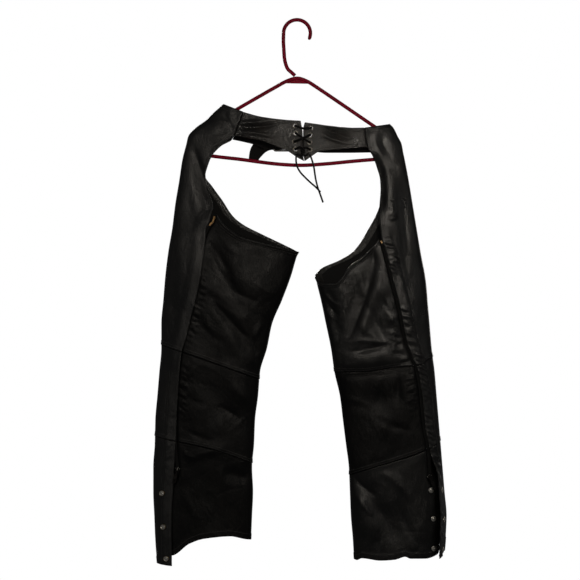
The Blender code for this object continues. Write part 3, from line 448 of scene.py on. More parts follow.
# Front belt: where its top and bottom edges run; free is 0 on the leg's far wall, 1 at y
BELT_LEFT = rows(
    Station,
    (None, -184, None, -235.6, 0, 0),
    (-98, -192, -108, -240, 0, 0),
    (-80, -206, -84, -246, 0.5, 19),
    (-66, -221, -66, -253, 1, 19),
    (-54, -230.2, -54, -254.2, 1, 19),
)
BELT_RETURN_X = -68
BELT_RIGHT = rows(
    Station,
    (None, -215, None, -261.4, 0, 0),
    (100, -218, 104, -262, 0, 0),
    (60, -226, 60, -262, 1, 19),
    (30, -229.5, 30, -259.5, 1, 19),
    (6, -228.8, 6, -256.4, 1, 19),
    (-14, -228.6, -14, -255.6, 1, 19),
    (-22, -228.6, -22, -255.6, 1, 21.4),
    (-32, -228.6, -32, -255.6, 1, 26.6),
    (-41, -228.6, -41, -255.6, 1, 28.6),
    (-52, -229, -50, -255.6, 1, 28.6),
    (-62, -231, -56, -256.6, 1, 28.8),
    (-76, -235.5, -61, -259, 1, 29.4),
    (-87, -242.5, -66, -262.6, 1, 30.2),
    (-93.6, -253, -70.6, -267.4, 1, 30.6),
    (-96.4, -265, -75.4, -272.8, 1, 30.4),
    (-97.6, -277.5, -78.6, -279, 1, 30),
)

ZIPS = {
    "left": {"top": -387.0, "bottom": -905.0, "slider": (-238.6, -897.0), "tilt": 14.0},
    "right": {"top": -436.0, "bottom": -917.0, "slider": (264.6, -912.0), "tilt": -22.0},
}
SNAP_CAPS = {
    "left": rows(Place, (-268.6, -943.8), (-266.4, -1011.2), (-260.4, -1074.4)),
    "right": (-938.0, -996.6, -1056.8),
}
SNAP_STUDS = rows(Place, (267.6, -937.4), (272.4, -994.6), (273.6, -1054.0))
STRIP_CAP_ANGLE = 0.52

# Hanger, as centre lines in the plane y = 0
HOOK_CENTRE = (0.0, -23.2)
HOOK_RADIUS = 26.9
HOOK_TIP_ANGLE = -29.0
SHANK = rows(Place, (-27.2, -40), (-26.2, -58), (-24.4, -78), (-19, -94), (-11, -101.8), (-3.9, -108.3))
LEFT_END = {"centre": (-191.5, -245.0), "radius": 21.6, "from": 120.0, "to": 263.0}
RIGHT_END = {"centre": (185.7, -254.9), "radius": 19.2, "from": 56.0, "to": -86.0}
APEX = rows(Place, (-48, -134.2), (-20, -119), (0, -113.6), (18, -118.6), (44, -134.6))
LEFT_ARM_END = Place(-114, -172)
RIGHT_ARM_END = Place(146, -204)
BAR = rows(
    Place,
    (-154, -271.5),
    (-114, -276),
    (-74, -281.5),
    (-34, -286),
    (10, -288),
    (60, -285),
    (106, -280.5),
    (146, -277),
)
WEB_CORNERS = rows(Place, (-23, -123.5), (0, -110), (25, -124.5))
WEB_THICK = 2.6


def smooth(table, key, value):
    """A curve through two columns of a table, which stays between its rows."""
    ordered = sorted(table, key=lambda row: getattr(row, key))
    at = np.array([getattr(row, key) for row in ordered], float)
    to = np.array([getattr(row, value) for row in ordered], float)
    step = np.diff(at)
    slope = np.diff(to) / step
    tilt = np.concatenate([slope[:1], np.zeros(len(slope) - 1), slope[-1:]])
    for i in range(1, len(slope)):
        if slope[i - 1] * slope[i] > 0:
            tilt[i] = 2 * slope[i - 1] * slope[i] / (slope[i - 1] + slope[i])

    def curve(x):
        x = np.clip(x, at[0], at[-1])
        i = np.clip(np.searchsorted(at, x) - 1, 0, len(step) - 1)
        t = (x - at[i]) / step[i]
        ends = to[i] * (1 + 2 * t) * (1 - t) ** 2 + to[i + 1] * t * t * (3 - 2 * t)
        return ends + step[i] * (tilt[i] * t * (1 - t) ** 2 - tilt[i + 1] * t * t * (1 - t))

    return curve


def eased(t):
    t = np.clip(t, 0, 1)
    return t * t * (3 - 2 * t)


def signed_power(value, power):
    return np.sign(value) * np.abs(value) ** power


class Leg:
    """One leg's tube. Angle 0 is its outer fold, -180 its inner fold by the near wall."""

    def __init__(self, name, sign, sections, near, far, back, folds):
        self.name = name
        self.sign = sign
        self.outer = smooth(sections, "z", "outer")
        self.inner = smooth(sections, "z", "inner")
        self.depth = smooth(sections, "z", "depth")
        self.near_x = smooth(near, "z", "x")
        self.far_x = smooth(far, "z", "x")
        self.back_x = smooth(back, "z", "x")
        self.folds = folds

    def middle_and_half(self, z):
        outer = self.outer(z) - self.sign * LEATHER / 2
        inner = self.inner(z) + self.sign * LEATHER / 2
        return (outer + inner) / 2, (outer - inner) / 2

    def angle_at(self, x, z, wall):
        middle, half = self.middle_and_half(z)
        across = np.clip((x - middle) / half, -1, 1)
        return wall * np.degrees(np.arccos(signed_power(across, SQUARENESS / 2)))

    def fold_depth(self, x, z, wall_side):
        total = 0.0
        for fold in self.folds:
            run = np.array([fold.x1 - fold.x0, fold.z1 - fold.z0], float)
            length = math.hypot(*run)
            along = ((x - fold.x0) * run[0] + (z - fold.z0) * run[1]) / length**2
            aside = ((x - fold.x0) * run[1] - (z - fold.z0) * run[0]) / length
            swell = np.sin(np.pi * np.clip(along, 0, 1)) ** 0.7
            ridge = fold.depth * swell * np.exp(-((aside / fold.width) ** 2))
            total = total + ridge * np.clip(fold.wall * wall_side * 1.6, 0, 1)
        return total

    def place(self, angle, z, out=0.0):
        """Points of the leather's middle surface, moved out by some millimetres."""
        turn = np.radians(angle)
        cosine = np.cos(turn)
        sine = np.sin(turn)
        middle, half = self.middle_and_half(z)
        depth = self.depth(z) / 2
        x = middle + half * signed_power(cosine, 2 / SQUARENESS)
        y = depth * signed_power(sine, 2 / SQUARENESS)
        normal_x = signed_power(cosine, 2 - 2 / SQUARENESS) / half
        normal_y = signed_power(sine, 2 - 2 / SQUARENESS) / depth
        size = np.hypot(normal_x, normal_y)
        out = out + self.fold_depth(x, z, sine)
        points = (x + normal_x / size * out, y + normal_y / size * out, z + 0 * x)
        return np.stack(points, axis=-1)

    def near_start(self, z):
        return self.angle_at(self.near_x(z), z, NEAR)

    def far_end(self, z):
        return np.minimum(self.angle_at(self.far_x(z), z, FAR), INSEAM)

    def back_start(self, z):
        return self.angle_at(self.back_x(z), z, NEAR)

    def back_end(self, z):
        return INSEAM - 360 + SEAM_ANGLE + 0 * z

    def open_share(self, z):
        if self.name == "left":
            return 0 * z
        return eased((OPEN_FROM - z) / OPEN_OVER)

    def front(self, angle, z):
        """The front's middle surface: it rises into the flap and curls at the seat edge."""
        base = self.place(angle, z)
        edge = self.place(self.near_start(z), z)
        from_edge = np.hypot(base[..., 0] - edge[..., 0], base[..., 1] - edge[..., 1])
        flap_from = -374 if self.name == "left" else -404
        flap = eased((flap_from - z) / 26) * eased((FLAP_WIDTH - from_edge) / FLAP_STEP)
        curl_depth = 2.5 if self.name == "left" else 8.0
        curl_rise = eased((-256 - z) / 40) * eased((z + 396) / 40)
        curl = curl_depth * curl_rise * eased((CURL_WIDTH - from_edge) / CURL_WIDTH)
        near = eased(-angle / 12)
        points = self.place(angle, z, near * (FLAP_LIFT * flap - curl))
        return self.swung(points, angle, z)

    def swung(self, points, angle, z):
        """The unfastened flap stands out from the outer fold, edge on."""
        share = (self.open_share(z) * (angle < 0))[..., None]
        fold = self.place(0 * z, z)
        along = np.hypot(points[..., 0] - fold[..., 0], points[..., 1] - fold[..., 1])
        slant = math.hypot(1, OPEN_SLANT)
        x = fold[..., 0] - OPEN_SLANT / slant * along
        y = fold[..., 1] - along / slant
        open_points = np.stack([x, y, points[..., 2]], axis=-1)
        return points * (1 - share) + open_points * share


LEFT = Leg("left", -1, LEFT_SECTIONS, LEFT_NEAR, LEFT_FAR, LEFT_BACK, LEFT_FOLDS)
RIGHT = Leg("right", 1, RIGHT_SECTIONS, RIGHT_NEAR, RIGHT_FAR, RIGHT_BACK, RIGHT_FOLDS)


def cut(near_table, far_table=None, shift=0.0):
    """A cut line's height for an angle and a place across the leg."""
    near = smooth(near_table, "x", "z")
    far = smooth(far_table or near_table, "x", "z")
    return lambda angle, x: np.where(angle < 0, near(x), far(x)) + shift


def waist_cut(tip_x, tip_z, slope):
    return lambda angle, x: tip_z - slope * np.abs(x - tip_x)


class Columns:
    """Spreads a panel's columns between its side edges, with one column on a fold."""

    def __init__(self, start, end, before, fold, after):
        self.start = start
        self.end = end
        self.fold = fold
        self.before = np.array(before, float)
        self.after = np.array(after, float)
        self.count = len(before) + len(after)

    def angles(self, z):
        z = z + np.zeros(self.count)
        split = len(self.before)
        start = self.start(z[..., :split])
        end = self.end(z[..., split:])
        first = start + (self.fold - start) * self.before
        second = self.fold + (end - self.fold) * self.after
        return np.concatenate([first, second], axis=-1)


class EvenColumns:
    """Spreads a panel's columns evenly between its side edges."""

    def __init__(self, start, end, count):
        self.start = start
        self.end = end
        self.count = count

    def angles(self, z):
        z = z + np.zeros(self.count)
        return self.start(z) + (self.end(z) - self.start(z)) * np.linspace(0, 1, self.count)


def settled(leg, columns, line):
    """Heights where a panel's columns meet a cut line."""
    z = np.full(columns.count, float(line(-1.0, 0.0)))
    for _ in range(60):
        angle = columns.angles(z)
        z = z + 0.4 * (line(angle, leg.place(angle, z)[..., 0]) - z)
    return z


def panel_points(leg, surface, columns, top, bottom, lines):
    """A grid between two side edges and two cut lines, as (lines, columns, 3)."""
    z_top = settled(leg, columns, top)
    z_bottom = settled(leg, columns, bottom)
    down = np.linspace(0, 1, lines + 1)[:, None]
    z = z_top + (z_bottom - z_top) * down
    return surface(columns.angles(z), z)


BODY = "garment"
STITCH_PITCH = 3.6
STITCH_LENGTH = 2.7
STITCH_RADIUS = 0.40
CLOTH_STEP = 2.6
TORN_OPEN = {"left": 24.0, "right": 12.0}
TOOTH_PITCH = 2.4
YOKE_LAP = 6.0
LACE_GIRTH = 1.85
TIED_GIRTH = 2.5
FLOOR_RADIUS = 1.1
FLOOR_HEIGHT = -1.25

# How far the stitching draws each flap together, and how proud the flap stands
PUCKERS = {"left": (0.30, 0.45), "right": (1.7, 1.5)}

PULL_HINGES = {
    "left": ((-0.240043, -0.029761, -0.900303), (0.96615, -0.0923, -0.24089), (0.23976, -0.02333, 0.97055)),
    "right": ((0.267166, -0.027036, -0.915132), (0.91015, 0.19079, 0.36773), (-0.3609, -0.07068, 0.92992)),
}

# Finer creases, added to the largest folds. bend bows a crease sideways by some millimetres
Crease = namedtuple("Crease", "wall x0 z0 x1 z1 width depth bend")
LEFT_CREASES = rows(
    Crease,
    (NEAR, -216, -236, -172, -372, 7.0, -4.2, -4),
    (NEAR, -204, -284, -166, -380, 13.0, -5.6, -2),
    (NEAR, -180, -436, -126, -540, 8.0, -3.0, -6),
    (NEAR, -128, -536, -76, -562, 6.0, -2.2, 3),
    (NEAR, -182, -530, -132, -600, 7.0, -2.4, 5),
    (NEAR, -138, -590, -86, -640, 6.0, -2.4, 4),
    (NEAR, -80, -520, -44, -552, 9.0, 2.4, 3),
    (NEAR, -188, -570, -160, -636, 9.0, 2.2, 5),
    (NEAR, -226, -862, -190, -872, 3.4, 1.8, 5),
    (NEAR, -116, -878, -92, -882, 5.0, 2.0, 1),
    (NEAR, -92, -640, -70, -600, 6.0, 1.8, 2),
    (NEAR, -160, -770, -110, -800, 7.0, -2.0, -4),
    (NEAR, -216, -820, -170, -838, 6.0, -1.8, 3),
    (NEAR, -146, -180, -120, -226, 3.4, -1.7, 3),
    (NEAR, -139, -178, -113, -222, 3.0, 1.2, 3),
    (NEAR, -124, -222, -178, -230, 5.0, -1.3, 2),
    (NEAR, -126, -226, -176, -252, 4.0, -1.1, -2),
    (NEAR, -124, -214, -158, -196, 4.0, 1.0, 2),
    (NEAR, -196, -212, -212, -262, 8.0, 1.4, 3),
    (NEAR, -124, -211, -38, -208, 4.4, -4.2, 3),
    (NEAR, -122, -222, -44, -232, 4.2, 3.8, -2),
    (NEAR, -118, -205, -52, -200, 3.8, 3.2, 0),
    (NEAR, -120, -228, -60, -248, 3.8, -3.4, 2),
    (NEAR, -216, -330, -206, -420, 9.0, -1.6, 3),
    (NEAR, -166, -448, -132, -520, 6.0, 2.0, 4),
    (NEAR, -152, -434, -112, -470, 7.0, 1.2, 3),
    (NEAR, -174, -556, -128, -592, 6.0, 1.8, -3),
    (NEAR, -104, -598, -78, -690, 7.0, -2.4, -5),
    (NEAR, -196, -600, -140, -648, 7.0, -1.3, 4),
    (NEAR, -210, -680, -150, -706, 6.0, 1.1, -3),
    (NEAR, -228, -742, -180, -770, 7.0, -1.2, 3),
    (NEAR, -130, -726, -92, -762, 8.0, 1.3, 3),
    (NEAR, -228, -868, -164, -858, 5.0, 1.5, 2),
    (NEAR, -104, -882, -94, -916, 5.0, -2.0, 0),
    (NEAR, -226, -930, -190, -1010, 8.0, 1.5, 4),
    (NEAR, -168, -934, -140, -1016, 9.0, 1.6, -4),
    (NEAR, -268, -360, -256, -520, 9.0, 1.2, 3),
    (NEAR, -276, -560, -250, -640, 8.0, -1.2, 3),
    (NEAR, -262, -700, -276, -800, 8.0, 1.2, -2),
    (FAR, -90, -520, -190, -590, 8.0, 2.0, 4),
    (FAR, -240, -420, -200, -560, 10.0, 1.8, 5),
    (FAR, -120, -640, -220, -720, 9.0, 1.6, -4),
    (FAR, -140, -870, -250, -930, 9.0, 1.8, 4),
)
RIGHT_CREASES = rows(
    Crease,
    (NEAR, 80, -694, 240, -684, 12.0, 1.8, 2),
    (NEAR, 62, -703, 168, -699, 3.4, -1.6, 1),
    (NEAR, 78, -768, 232, -756, 34.0, -4.4, 2),
    (NEAR, 152, -454, 156, -490, 5.0, -2.6, 2),
    (NEAR, 157, -470, 100, -640, 9.0, -5.0, -7),
    (NEAR, 128, -484, 134, -552, 9.0, 2.4, 4),
    (NEAR, 164, -540, 206, -606, 4.0, -1.6, 5),
    (NEAR, 180, -608, 210, -584, 7.0, 1.6, -3),
    (NEAR, 50, -534, 82, -570, 4.0, 2.0, 4),
    (NEAR, 52, -552, 86, -590, 4.0, -1.8, 4),
    (NEAR, 62, -608, 84, -690, 6.0, 2.0, 3),
    (NEAR, 182, -396, 200, -390, 5.0, 2.4, 1),
    (NEAR, 200, -326, 222, -510, 7.0, -2.2, 3),
    (NEAR, 226, -318, 240, -400, 4.0, 0.5, 2),
    (NEAR, 164, -300, 172, -350, 6.0, 2.2, 3),
    (NEAR, 206, -280, 222, -340, 7.0, 1.8, 2),
    (NEAR, 120, -596, 188, -650, 9.0, 2.2, 6),
    (NEAR, 96, -662, 196, -640, 6.0, -2.0, 5),
    (NEAR, 48, -211, 110, -236, 4.6, -4.0, 2),
    (NEAR, 44, -224, 102, -246, 4.2, 3.2, 2),
    (NEAR, 60, -205, 110, -224, 4.2, 3.0, -2),
    (NEAR, 152, -226, 176, -282, 6.0, 1.5, 3),
    (NEAR, 168, -224, 190, -276, 6.0, -1.5, 3),
    (NEAR, 176, -300, 184, -380, 6.0, 1.6, 2),
    (NEAR, 160, -526, 206, -618, 7.0, 2.0, 4),
    (NEAR, 42, -556, 68, -580, 4.5, -1.6, 2),
    (NEAR, 44, -566, 78, -600, 4.5, 1.3, 2),
    (NEAR, 132, -560, 176, -650, 8.0, -1.6, -5),
    (NEAR, 92, -640, 190, -646, 6.0, 1.6, -3),
    (NEAR, 196, -690, 240, -668, 4.0, -1.8, 2),
    (NEAR, 203, -712, 202, -760, 3.0, -0.8, 1),
    (NEAR, 94, -756, 152, -770, 8.0, 1.5, -3),
    (NEAR, 150, -790, 232, -820, 8.0, -1.4, 4),
    (NEAR, 108, -906, 158, -950, 6.0, -2.0, 3),
    (NEAR, 122, -950, 152, -990, 5.0, 2.0, 2),
    (NEAR, 168, -900, 232, -960, 8.0, 1.4, -4),
    (NEAR, 200, -960, 244, -1050, 8.0, -1.6, 4),
    (NEAR, 212, -330, 224, -480, 5.0, -1.8, 2),
    (NEAR, 232, -520, 246, -640, 7.0, 1.4, 2),
    (NEAR, 262, -700, 270, -800, 6.0, -1.2, 2),
    (FAR, 90, -540, 190, -600, 8.0, 2.0, 4),
    (FAR, 230, -430, 190, -570, 10.0, 1.8, -5),
    (FAR, 120, -660, 220, -740, 9.0, 1.6, 4),
    (FAR, 130, -880, 240, -940, 9.0, 1.8, -4),
)

# Places kept free of waves, for what is fitted to the leather there
Calm = namedtuple("Calm", "x z radius")
CALM = rows(
    Calm, (11, -235, 42), (-239, -905, 26), (266, -918, 26), (-128, -236, 14), (150, -262, 12), (119, -246, 20)
)


def crease_depth(creases, x, z, wall_side):
    total = 0.0
    for row in creases:
        run = (row.x1 - row.x0, row.z1 - row.z0)
        length = math.hypot(*run)
        along = ((x - row.x0) * run[0] + (z - row.z0) * run[1]) / length**2
        aside = ((x - row.x0) * run[1] - (z - row.z0) * run[0]) / length
        aside = aside - row.bend * 4 * along * (1 - along)
        swell = np.sin(np.pi * np.clip(along, 0, 1)) ** 0.8
        profile = np.exp(-((np.abs(aside) / row.width) ** 1.7))
        total = total + row.depth * swell * profile * np.clip(row.wall * wall_side * 1.6, 0, 1)
    return total


def waves(u, v, size, seed):
    """Irregular waves between about -1 and 1, from sines that run in several directions."""
    random = np.random.default_rng(seed)
    total = 0.0
    for _ in range(9):
        turn = random.uniform(0, 2 * math.pi)
        pitch = 2 * math.pi * random.uniform(0.55, 1.5) / size
        total = total + np.sin(
            pitch * (u * math.cos(turn) + v * math.sin(turn)) + random.uniform(0, 2 * math.pi)
        )
    return total / 3.4


class DressedLeg(Leg):
    """A leg whose surface also has fine creases and the soft waves of hung leather."""

    def __init__(self, leg, creases, lean):
        self.__dict__.update(leg.__dict__)
        self.creases = creases
        self.lean = lean

    def fold_depth(self, x, z, wall_side):
        depth = super().fold_depth(x, z, wall_side)
        depth = depth + crease_depth(self.creases, x, z, wall_side)
        still = 1.0
        for spot in CALM:
            still = still * (1 - np.exp(-(((x - spot.x) ** 2 + (z - spot.z) ** 2) / spot.radius**2)))
        side = np.where(wall_side < 0, 0, 400)
        across = x * math.cos(self.lean) + z * math.sin(self.lean) + side
        along = z * math.cos(self.lean) - x * math.sin(self.lean)
        soft = 1.5 * waves(across, along * 0.55, 88, 3) + 0.36 * waves(across, along * 0.55, 36, 5)
        net = np.exp(-((waves(across, along * 0.8, 62, 13) / 0.20) ** 2))
        worn = np.clip(waves(across, along, 150, 17) - 0.1, 0, 1)
        fine = 0.07 * waves(across, along * 0.8, 14, 7)
        return depth + ((soft - 0.4 * net * worn) * still + fine) * np.clip(np.abs(wall_side) * 1.5, 0, 1)


def normals_of(points):
    down = np.gradient(points, axis=0)
    over = np.gradient(points, axis=1)
    normal = np.cross(down, over)
    return normal / np.maximum(np.linalg.norm(normal, axis=-1, keepdims=True), 1e-9)


def outward_normals(leg, points):
    normal = normals_of(points)
    middle, _ = leg.middle_and_half(points[..., 2])
    away = np.stack([points[..., 0] - middle, 3 * points[..., 1], 0 * middle], axis=-1)
    votes = np.median(np.sum(normal * away, axis=-1))
    return normal if votes > 0 else -normal


def distance_from(points, side):
    """How far each point of a grid is from one side of it, along the grid."""
    axis = 1 if side in ("start", "end") else 0
    step = np.linalg.norm(np.diff(points, axis=axis), axis=-1)
    run = np.cumsum(step, axis=axis)
    run = np.concatenate([np.zeros_like(np.take(run, [0], axis=axis)), run], axis=axis)
    if side in ("end", "bottom"):
        run = np.take(run, [-1], axis=axis) - run
    return run


def raised_edge(points, normal, side, width, height, where=1.0):
    """A folded and stitched edge, which stands a little proud."""
    near = eased((width - distance_from(points, side)) / 2.5)
    return points + normal * (near * height * where)[..., None]


def puckered(points, normal, side, width, height, where, seed):
    """Ripples that a line of stitching draws across a narrow band."""
    distance = distance_from(points, side)
    band = np.exp(-(np.abs((distance - width * 0.52) / (width * 0.46)) ** 3))
    slant = points[..., 2] + 0.45 * distance
    strength = np.clip(0.62 + 0.8 * waves(points[..., 2], 0 * distance, 120, seed + 2), 0.05, 1.3)
    ripple = strength * waves(slant, distance * 0.35, 15, seed)
    ripple = ripple + 0.5 * strength * waves(slant, distance * 0.5, 7, seed + 1)
    return points + normal * (band * ripple * height * where)[..., None]


def inset(points, normal, side, distance, trim=(0.0, 0.0), keep=None):
    """A line at some distance from one side of a grid, with the normals along it."""
    run = distance_from(points, side)
    if side in ("top", "bottom"):
        run = run.T
        points = points.transpose(1, 0, 2)
        normal = normal.transpose(1, 0, 2)
    path = []
    for far, line, out in zip(run, points, normal):
        order = np.argsort(far)
        spot = [np.interp(distance, far[order], line[order, k]) for k in range(3)]
        away = [np.interp(distance, far[order], out[order, k]) for k in range(3)]
        path.append(spot + away)
    path = np.array(path)
    length = np.concatenate([[0], np.cumsum(np.linalg.norm(np.diff(path[:, :3], axis=0), axis=1))])
    inside = (length >= trim[0]) & (length <= length[-1] - trim[1])
    if keep is not None:
        inside &= keep(path[:, 2])
    return path[inside]


def grid_mesh(name, points):
    lines, columns = points.shape[:2]
    index = np.arange(lines * columns).reshape(lines, columns)
    quads = np.stack([index[:-1, :-1], index[1:, :-1], index[1:, 1:], index[:-1, 1:]], axis=-1)
    mesh = bpy.data.meshes.new(name)
    mesh.from_pydata((points.reshape(-1, 3) * MM).tolist(), [], quads.reshape(-1, 4).tolist())
    mesh.shade_smooth()
    return mesh


def show(name, data, material, body=BODY):
    obj = bpy.data.objects.new(name, data)
    if material is not None:
        data.materials.append(material)
    bpy.context.scene.collection.objects.link(obj)
    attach(obj, body)
    return obj


def cloth(name, points, normal, material, lining, thick=LEATHER, node=None, faced=(), facing=None):
    """A thin wall of leather on a grid: grain outside, suede inside, grain again where it is faced."""
    band = np.zeros(points.shape[:2], bool)
    for side, width in faced:
        band |= distance_from(points, side) < width
    if np.median(np.sum(normals_of(points) * normal, axis=-1)) < 0:
        points = points[:, ::-1]
        band = band[:, ::-1]
    obj = show(name, grid_mesh(name, points), material)
    obj.data.materials.append(lining)
    if faced:
        obj.data.materials.append(material)
        obj.data.materials.append(facing)
        index = np.where(band[:-1, :-1] & band[1:, 1:], 2, 0).reshape(-1)
        obj.data.polygons.foreach_set("material_index", index.astype(np.int32))
    wall = obj.modifiers.new("wall", "SOLIDIFY")
    wall.thickness = thick * MM
    wall.offset = 0
    wall.use_even_offset = True
    wall.material_offset = 1
    wall.use_rim = True
    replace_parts(obj, node or name.replace("_leather", ""))
    return obj


def capsule_rows(name, paths, material, lift, radius=STITCH_RADIUS, pitch=STITCH_PITCH,
                 length=STITCH_LENGTH, body=BODY):
    """Stitches along paths of (point, normal): short threads whose ends dip into the leather."""
    shares = np.array([-0.5, -0.36, 0.0, 0.36, 0.5])
    rise = np.array([-0.45, 0.15, 0.30, 0.15, -0.45]) * radius * 2
    girth = np.array([0.55, 0.95, 1.0, 0.95, 0.55]) * radius
    sides = 6
    turns = np.arange(sides) * 2 * math.pi / sides
    points = []
    faces = []
    for path in paths:
        if len(path) < 3:
            continue
        run = np.concatenate([[0], np.cumsum(np.linalg.norm(np.diff(path[:, :3], axis=0), axis=1))])
        count = int(run[-1] // pitch)
        if count < 1:
            continue
        spots = (np.arange(count) + 0.5) * run[-1] / count
        centre = np.stack([np.interp(spots, run, path[:, k]) for k in range(3)], axis=1)
        ahead = np.stack([np.interp(spots + 1, run, path[:, k]) for k in range(3)], axis=1)
        back = np.stack([np.interp(spots - 1, run, path[:, k]) for k in range(3)], axis=1)
        out = np.stack([np.interp(spots, run, path[:, 3 + k]) for k in range(3)], axis=1)
        out /= np.linalg.norm(out, axis=1, keepdims=True)
        along = ahead - back
        along /= np.maximum(np.linalg.norm(along, axis=1, keepdims=True), 1e-9)
        across = np.cross(along, out)
        for i in range(count):
            first = len(points)
            for share, high, round_ in zip(shares, rise, girth):
                middle = centre[i] + along[i] * share * length + out[i] * (lift + high)
                for turn in turns:
                    points.append(
                        middle + round_ * (math.cos(turn) * across[i] + math.sin(turn) * out[i])
                    )
            for ring in range(len(shares) - 1):
                for k in range(sides):
                    a = first + ring * sides + k
                    b = first + ring * sides + (k + 1) % sides
                    faces.append((a, a + sides, b + sides, b))
            faces.append(tuple(first + k for k in range(sides)))
            faces.append(tuple(first + (len(shares) - 1) * sides + k for k in reversed(range(sides))))
    mesh = bpy.data.meshes.new(name)
    mesh.from_pydata((np.array(points) * MM).tolist(), [], faces)
    mesh.shade_smooth()
    return show(name, mesh, material, body)


class Nodes:
    """A short way to write a material's node tree."""

    def __init__(self, name):
        self.material = bpy.data.materials.new(name)
        self.material.use_nodes = True
        self.tree = self.material.node_tree
        self.shader = self.tree.nodes["Principled BSDF"]
        self.place = self.add("ShaderNodeTexCoord").outputs["Object"]

    def add(self, kind, **settings):
        node = self.tree.nodes.new(kind)
        for key, value in settings.items():
            setattr(node, key, value)
        return node

    def join(self, source, target):
        self.tree.links.new(source, target)

    def stretched(self, scale, turn=(0, 0, 0)):
        node = self.add("ShaderNodeMapping")
        node.inputs["Scale"].default_value = scale
        node.inputs["Rotation"].default_value = turn
        self.join(self.place, node.inputs["Vector"])
        return node.outputs["Vector"]

    def noise(self, scale, detail=4.0, roughness=0.55, place=None, distortion=0.0):
        node = self.add("ShaderNodeTexNoise")
        node.inputs["Scale"].default_value = scale
        node.inputs["Detail"].default_value = detail
        node.inputs["Roughness"].default_value = roughness
        node.inputs["Distortion"].default_value = distortion
        self.join(place or self.place, node.inputs["Vector"])
        return node.outputs["Fac"]

    def cells(self, scale, feature="F1", place=None, randomness=1.0):
        node = self.add("ShaderNodeTexVoronoi", feature=feature)
        node.inputs["Scale"].default_value = scale
        node.inputs["Randomness"].default_value = randomness
        self.join(place or self.place, node.inputs["Vector"])
        return node.outputs["Distance"]

    def stripes(self, scale, direction, place=None, distortion=0.0):
        node = self.add("ShaderNodeTexWave", bands_direction=direction)
        node.inputs["Scale"].default_value = scale
        node.inputs["Distortion"].default_value = distortion
        self.join(place or self.place, node.inputs["Vector"])
        return node.outputs["Fac"]

    def spread(self, value, low, high, to_low=0.0, to_high=1.0):
        node = self.add("ShaderNodeMapRange")
        node.interpolation_type = "SMOOTHSTEP"
        node.inputs["From Min"].default_value = low
        node.inputs["From Max"].default_value = high
        node.inputs["To Min"].default_value = to_low
        node.inputs["To Max"].default_value = to_high
        self.join(value, node.inputs["Value"])
        return node.outputs["Result"]

    def blend(self, share, first, second):
        node = self.add("ShaderNodeMix", data_type="RGBA")
        for socket, colour in (("A", first), ("B", second)):
            if isinstance(colour, tuple):
                node.inputs[socket if False else (6 if socket == "A" else 7)].default_value = (*colour, 1)
            else:
                self.join(colour, node.inputs[6 if socket == "A" else 7])
        self.join(share, node.inputs[0])
        return node.outputs[2]

    def bump(self, height, strength, distance, below=None):
        node = self.add("ShaderNodeBump")
        node.inputs["Strength"].default_value = strength
        node.inputs["Distance"].default_value = distance
        self.join(height, node.inputs["Height"])
        if below is not None:
            self.join(below, node.inputs["Normal"])
        return node.outputs["Normal"]

    def finish(self, colour=None, roughness=None, normal=None, **values):
        for socket, source in (("Base Color", colour), ("Roughness", roughness), ("Normal", normal)):
            if source is None:
                continue
            if isinstance(source, tuple):
                self.shader.inputs[socket].default_value = (*source, 1)
            elif isinstance(source, float):
                self.shader.inputs[socket].default_value = source
            else:
                self.join(source, self.shader.inputs[socket])
        for key, value in values.items():
            self.shader.inputs[key.replace("_", " ")].default_value = value
        return self.material


def leather(name, dark, light, rough, grain=0.35, creases=0.8, pebble=900.0, specular=0.5, wear=2.2):
    """Chrome-tanned hide: pebbled grain, a net of fine creases, worn patches and uneven gloss. On the yoke and
    the facing the lighter patches are painted glints as well.
    """
    n = Nodes(name)
    tone = n.blend(n.spread(n.noise(11, 5), 0.36, 0.66), dark, light)
    # Light specks in a lighter colour: wear, and on the yoke and facing, where wear is set high, painted glints
    # too.
    speck = n.spread(n.noise(330, 3, 0.6), 0.58, 0.76)
    worn = tuple(min(1.0, c * wear) for c in light)
    colour = n.blend(speck, tone, worn)
    gloss = n.spread(n.noise(22, 5, 0.6), 0.32, 0.68, rough[0], rough[1])
    slanted = n.stretched((1.0, 1.0, 0.62), (0.0, 0.6, 0.0))
    wrinkles = n.noise(46, 5, 0.58, slanted, 0.9)
    net = n.add("ShaderNodeMath", operation="ABSOLUTE")
    shifted = n.add("ShaderNodeMath", operation="SUBTRACT")
    n.join(n.noise(34, 4, 0.5, n.stretched((1.0, 1.0, 0.8), (0.0, -0.4, 0.0)), 1.6), shifted.inputs[0])
    shifted.inputs[1].default_value = 0.5
    n.join(shifted.outputs[0], net.inputs[0])
    furrows = n.spread(net.outputs[0], 0.0, 0.055)
    pores = n.cells(pebble, "F1")
    normal = n.bump(wrinkles, creases, 0.0013)
    normal = n.bump(furrows, creases, 0.00012, normal)
    normal = n.bump(n.spread(pores, 0.0, 0.75), grain, 0.00030, normal)
    return n.finish(colour, gloss, normal, Specular_IOR_Level=specular)


def suede(name, dark, light):
    n = Nodes(name)
    nap = n.noise(420, 6, 0.7)
    colour = n.blend(n.spread(nap, 0.35, 0.7), dark, light)
    normal = n.bump(nap, 0.5, 0.0006)
    return n.finish(colour, 0.88, normal, Sheen_Weight=0.25, Sheen_Roughness=0.5)


def thread(name, colour):
    n = Nodes(name)
    twist = n.stripes(900, "DIAGONAL", distortion=0.6)
    tone = n.blend(n.spread(twist, 0.2, 0.8), tuple(c * 0.6 for c in colour), colour)
    return n.finish(tone, 0.62, n.bump(twist, 0.4, 0.00012), Sheen_Weight=0.2)


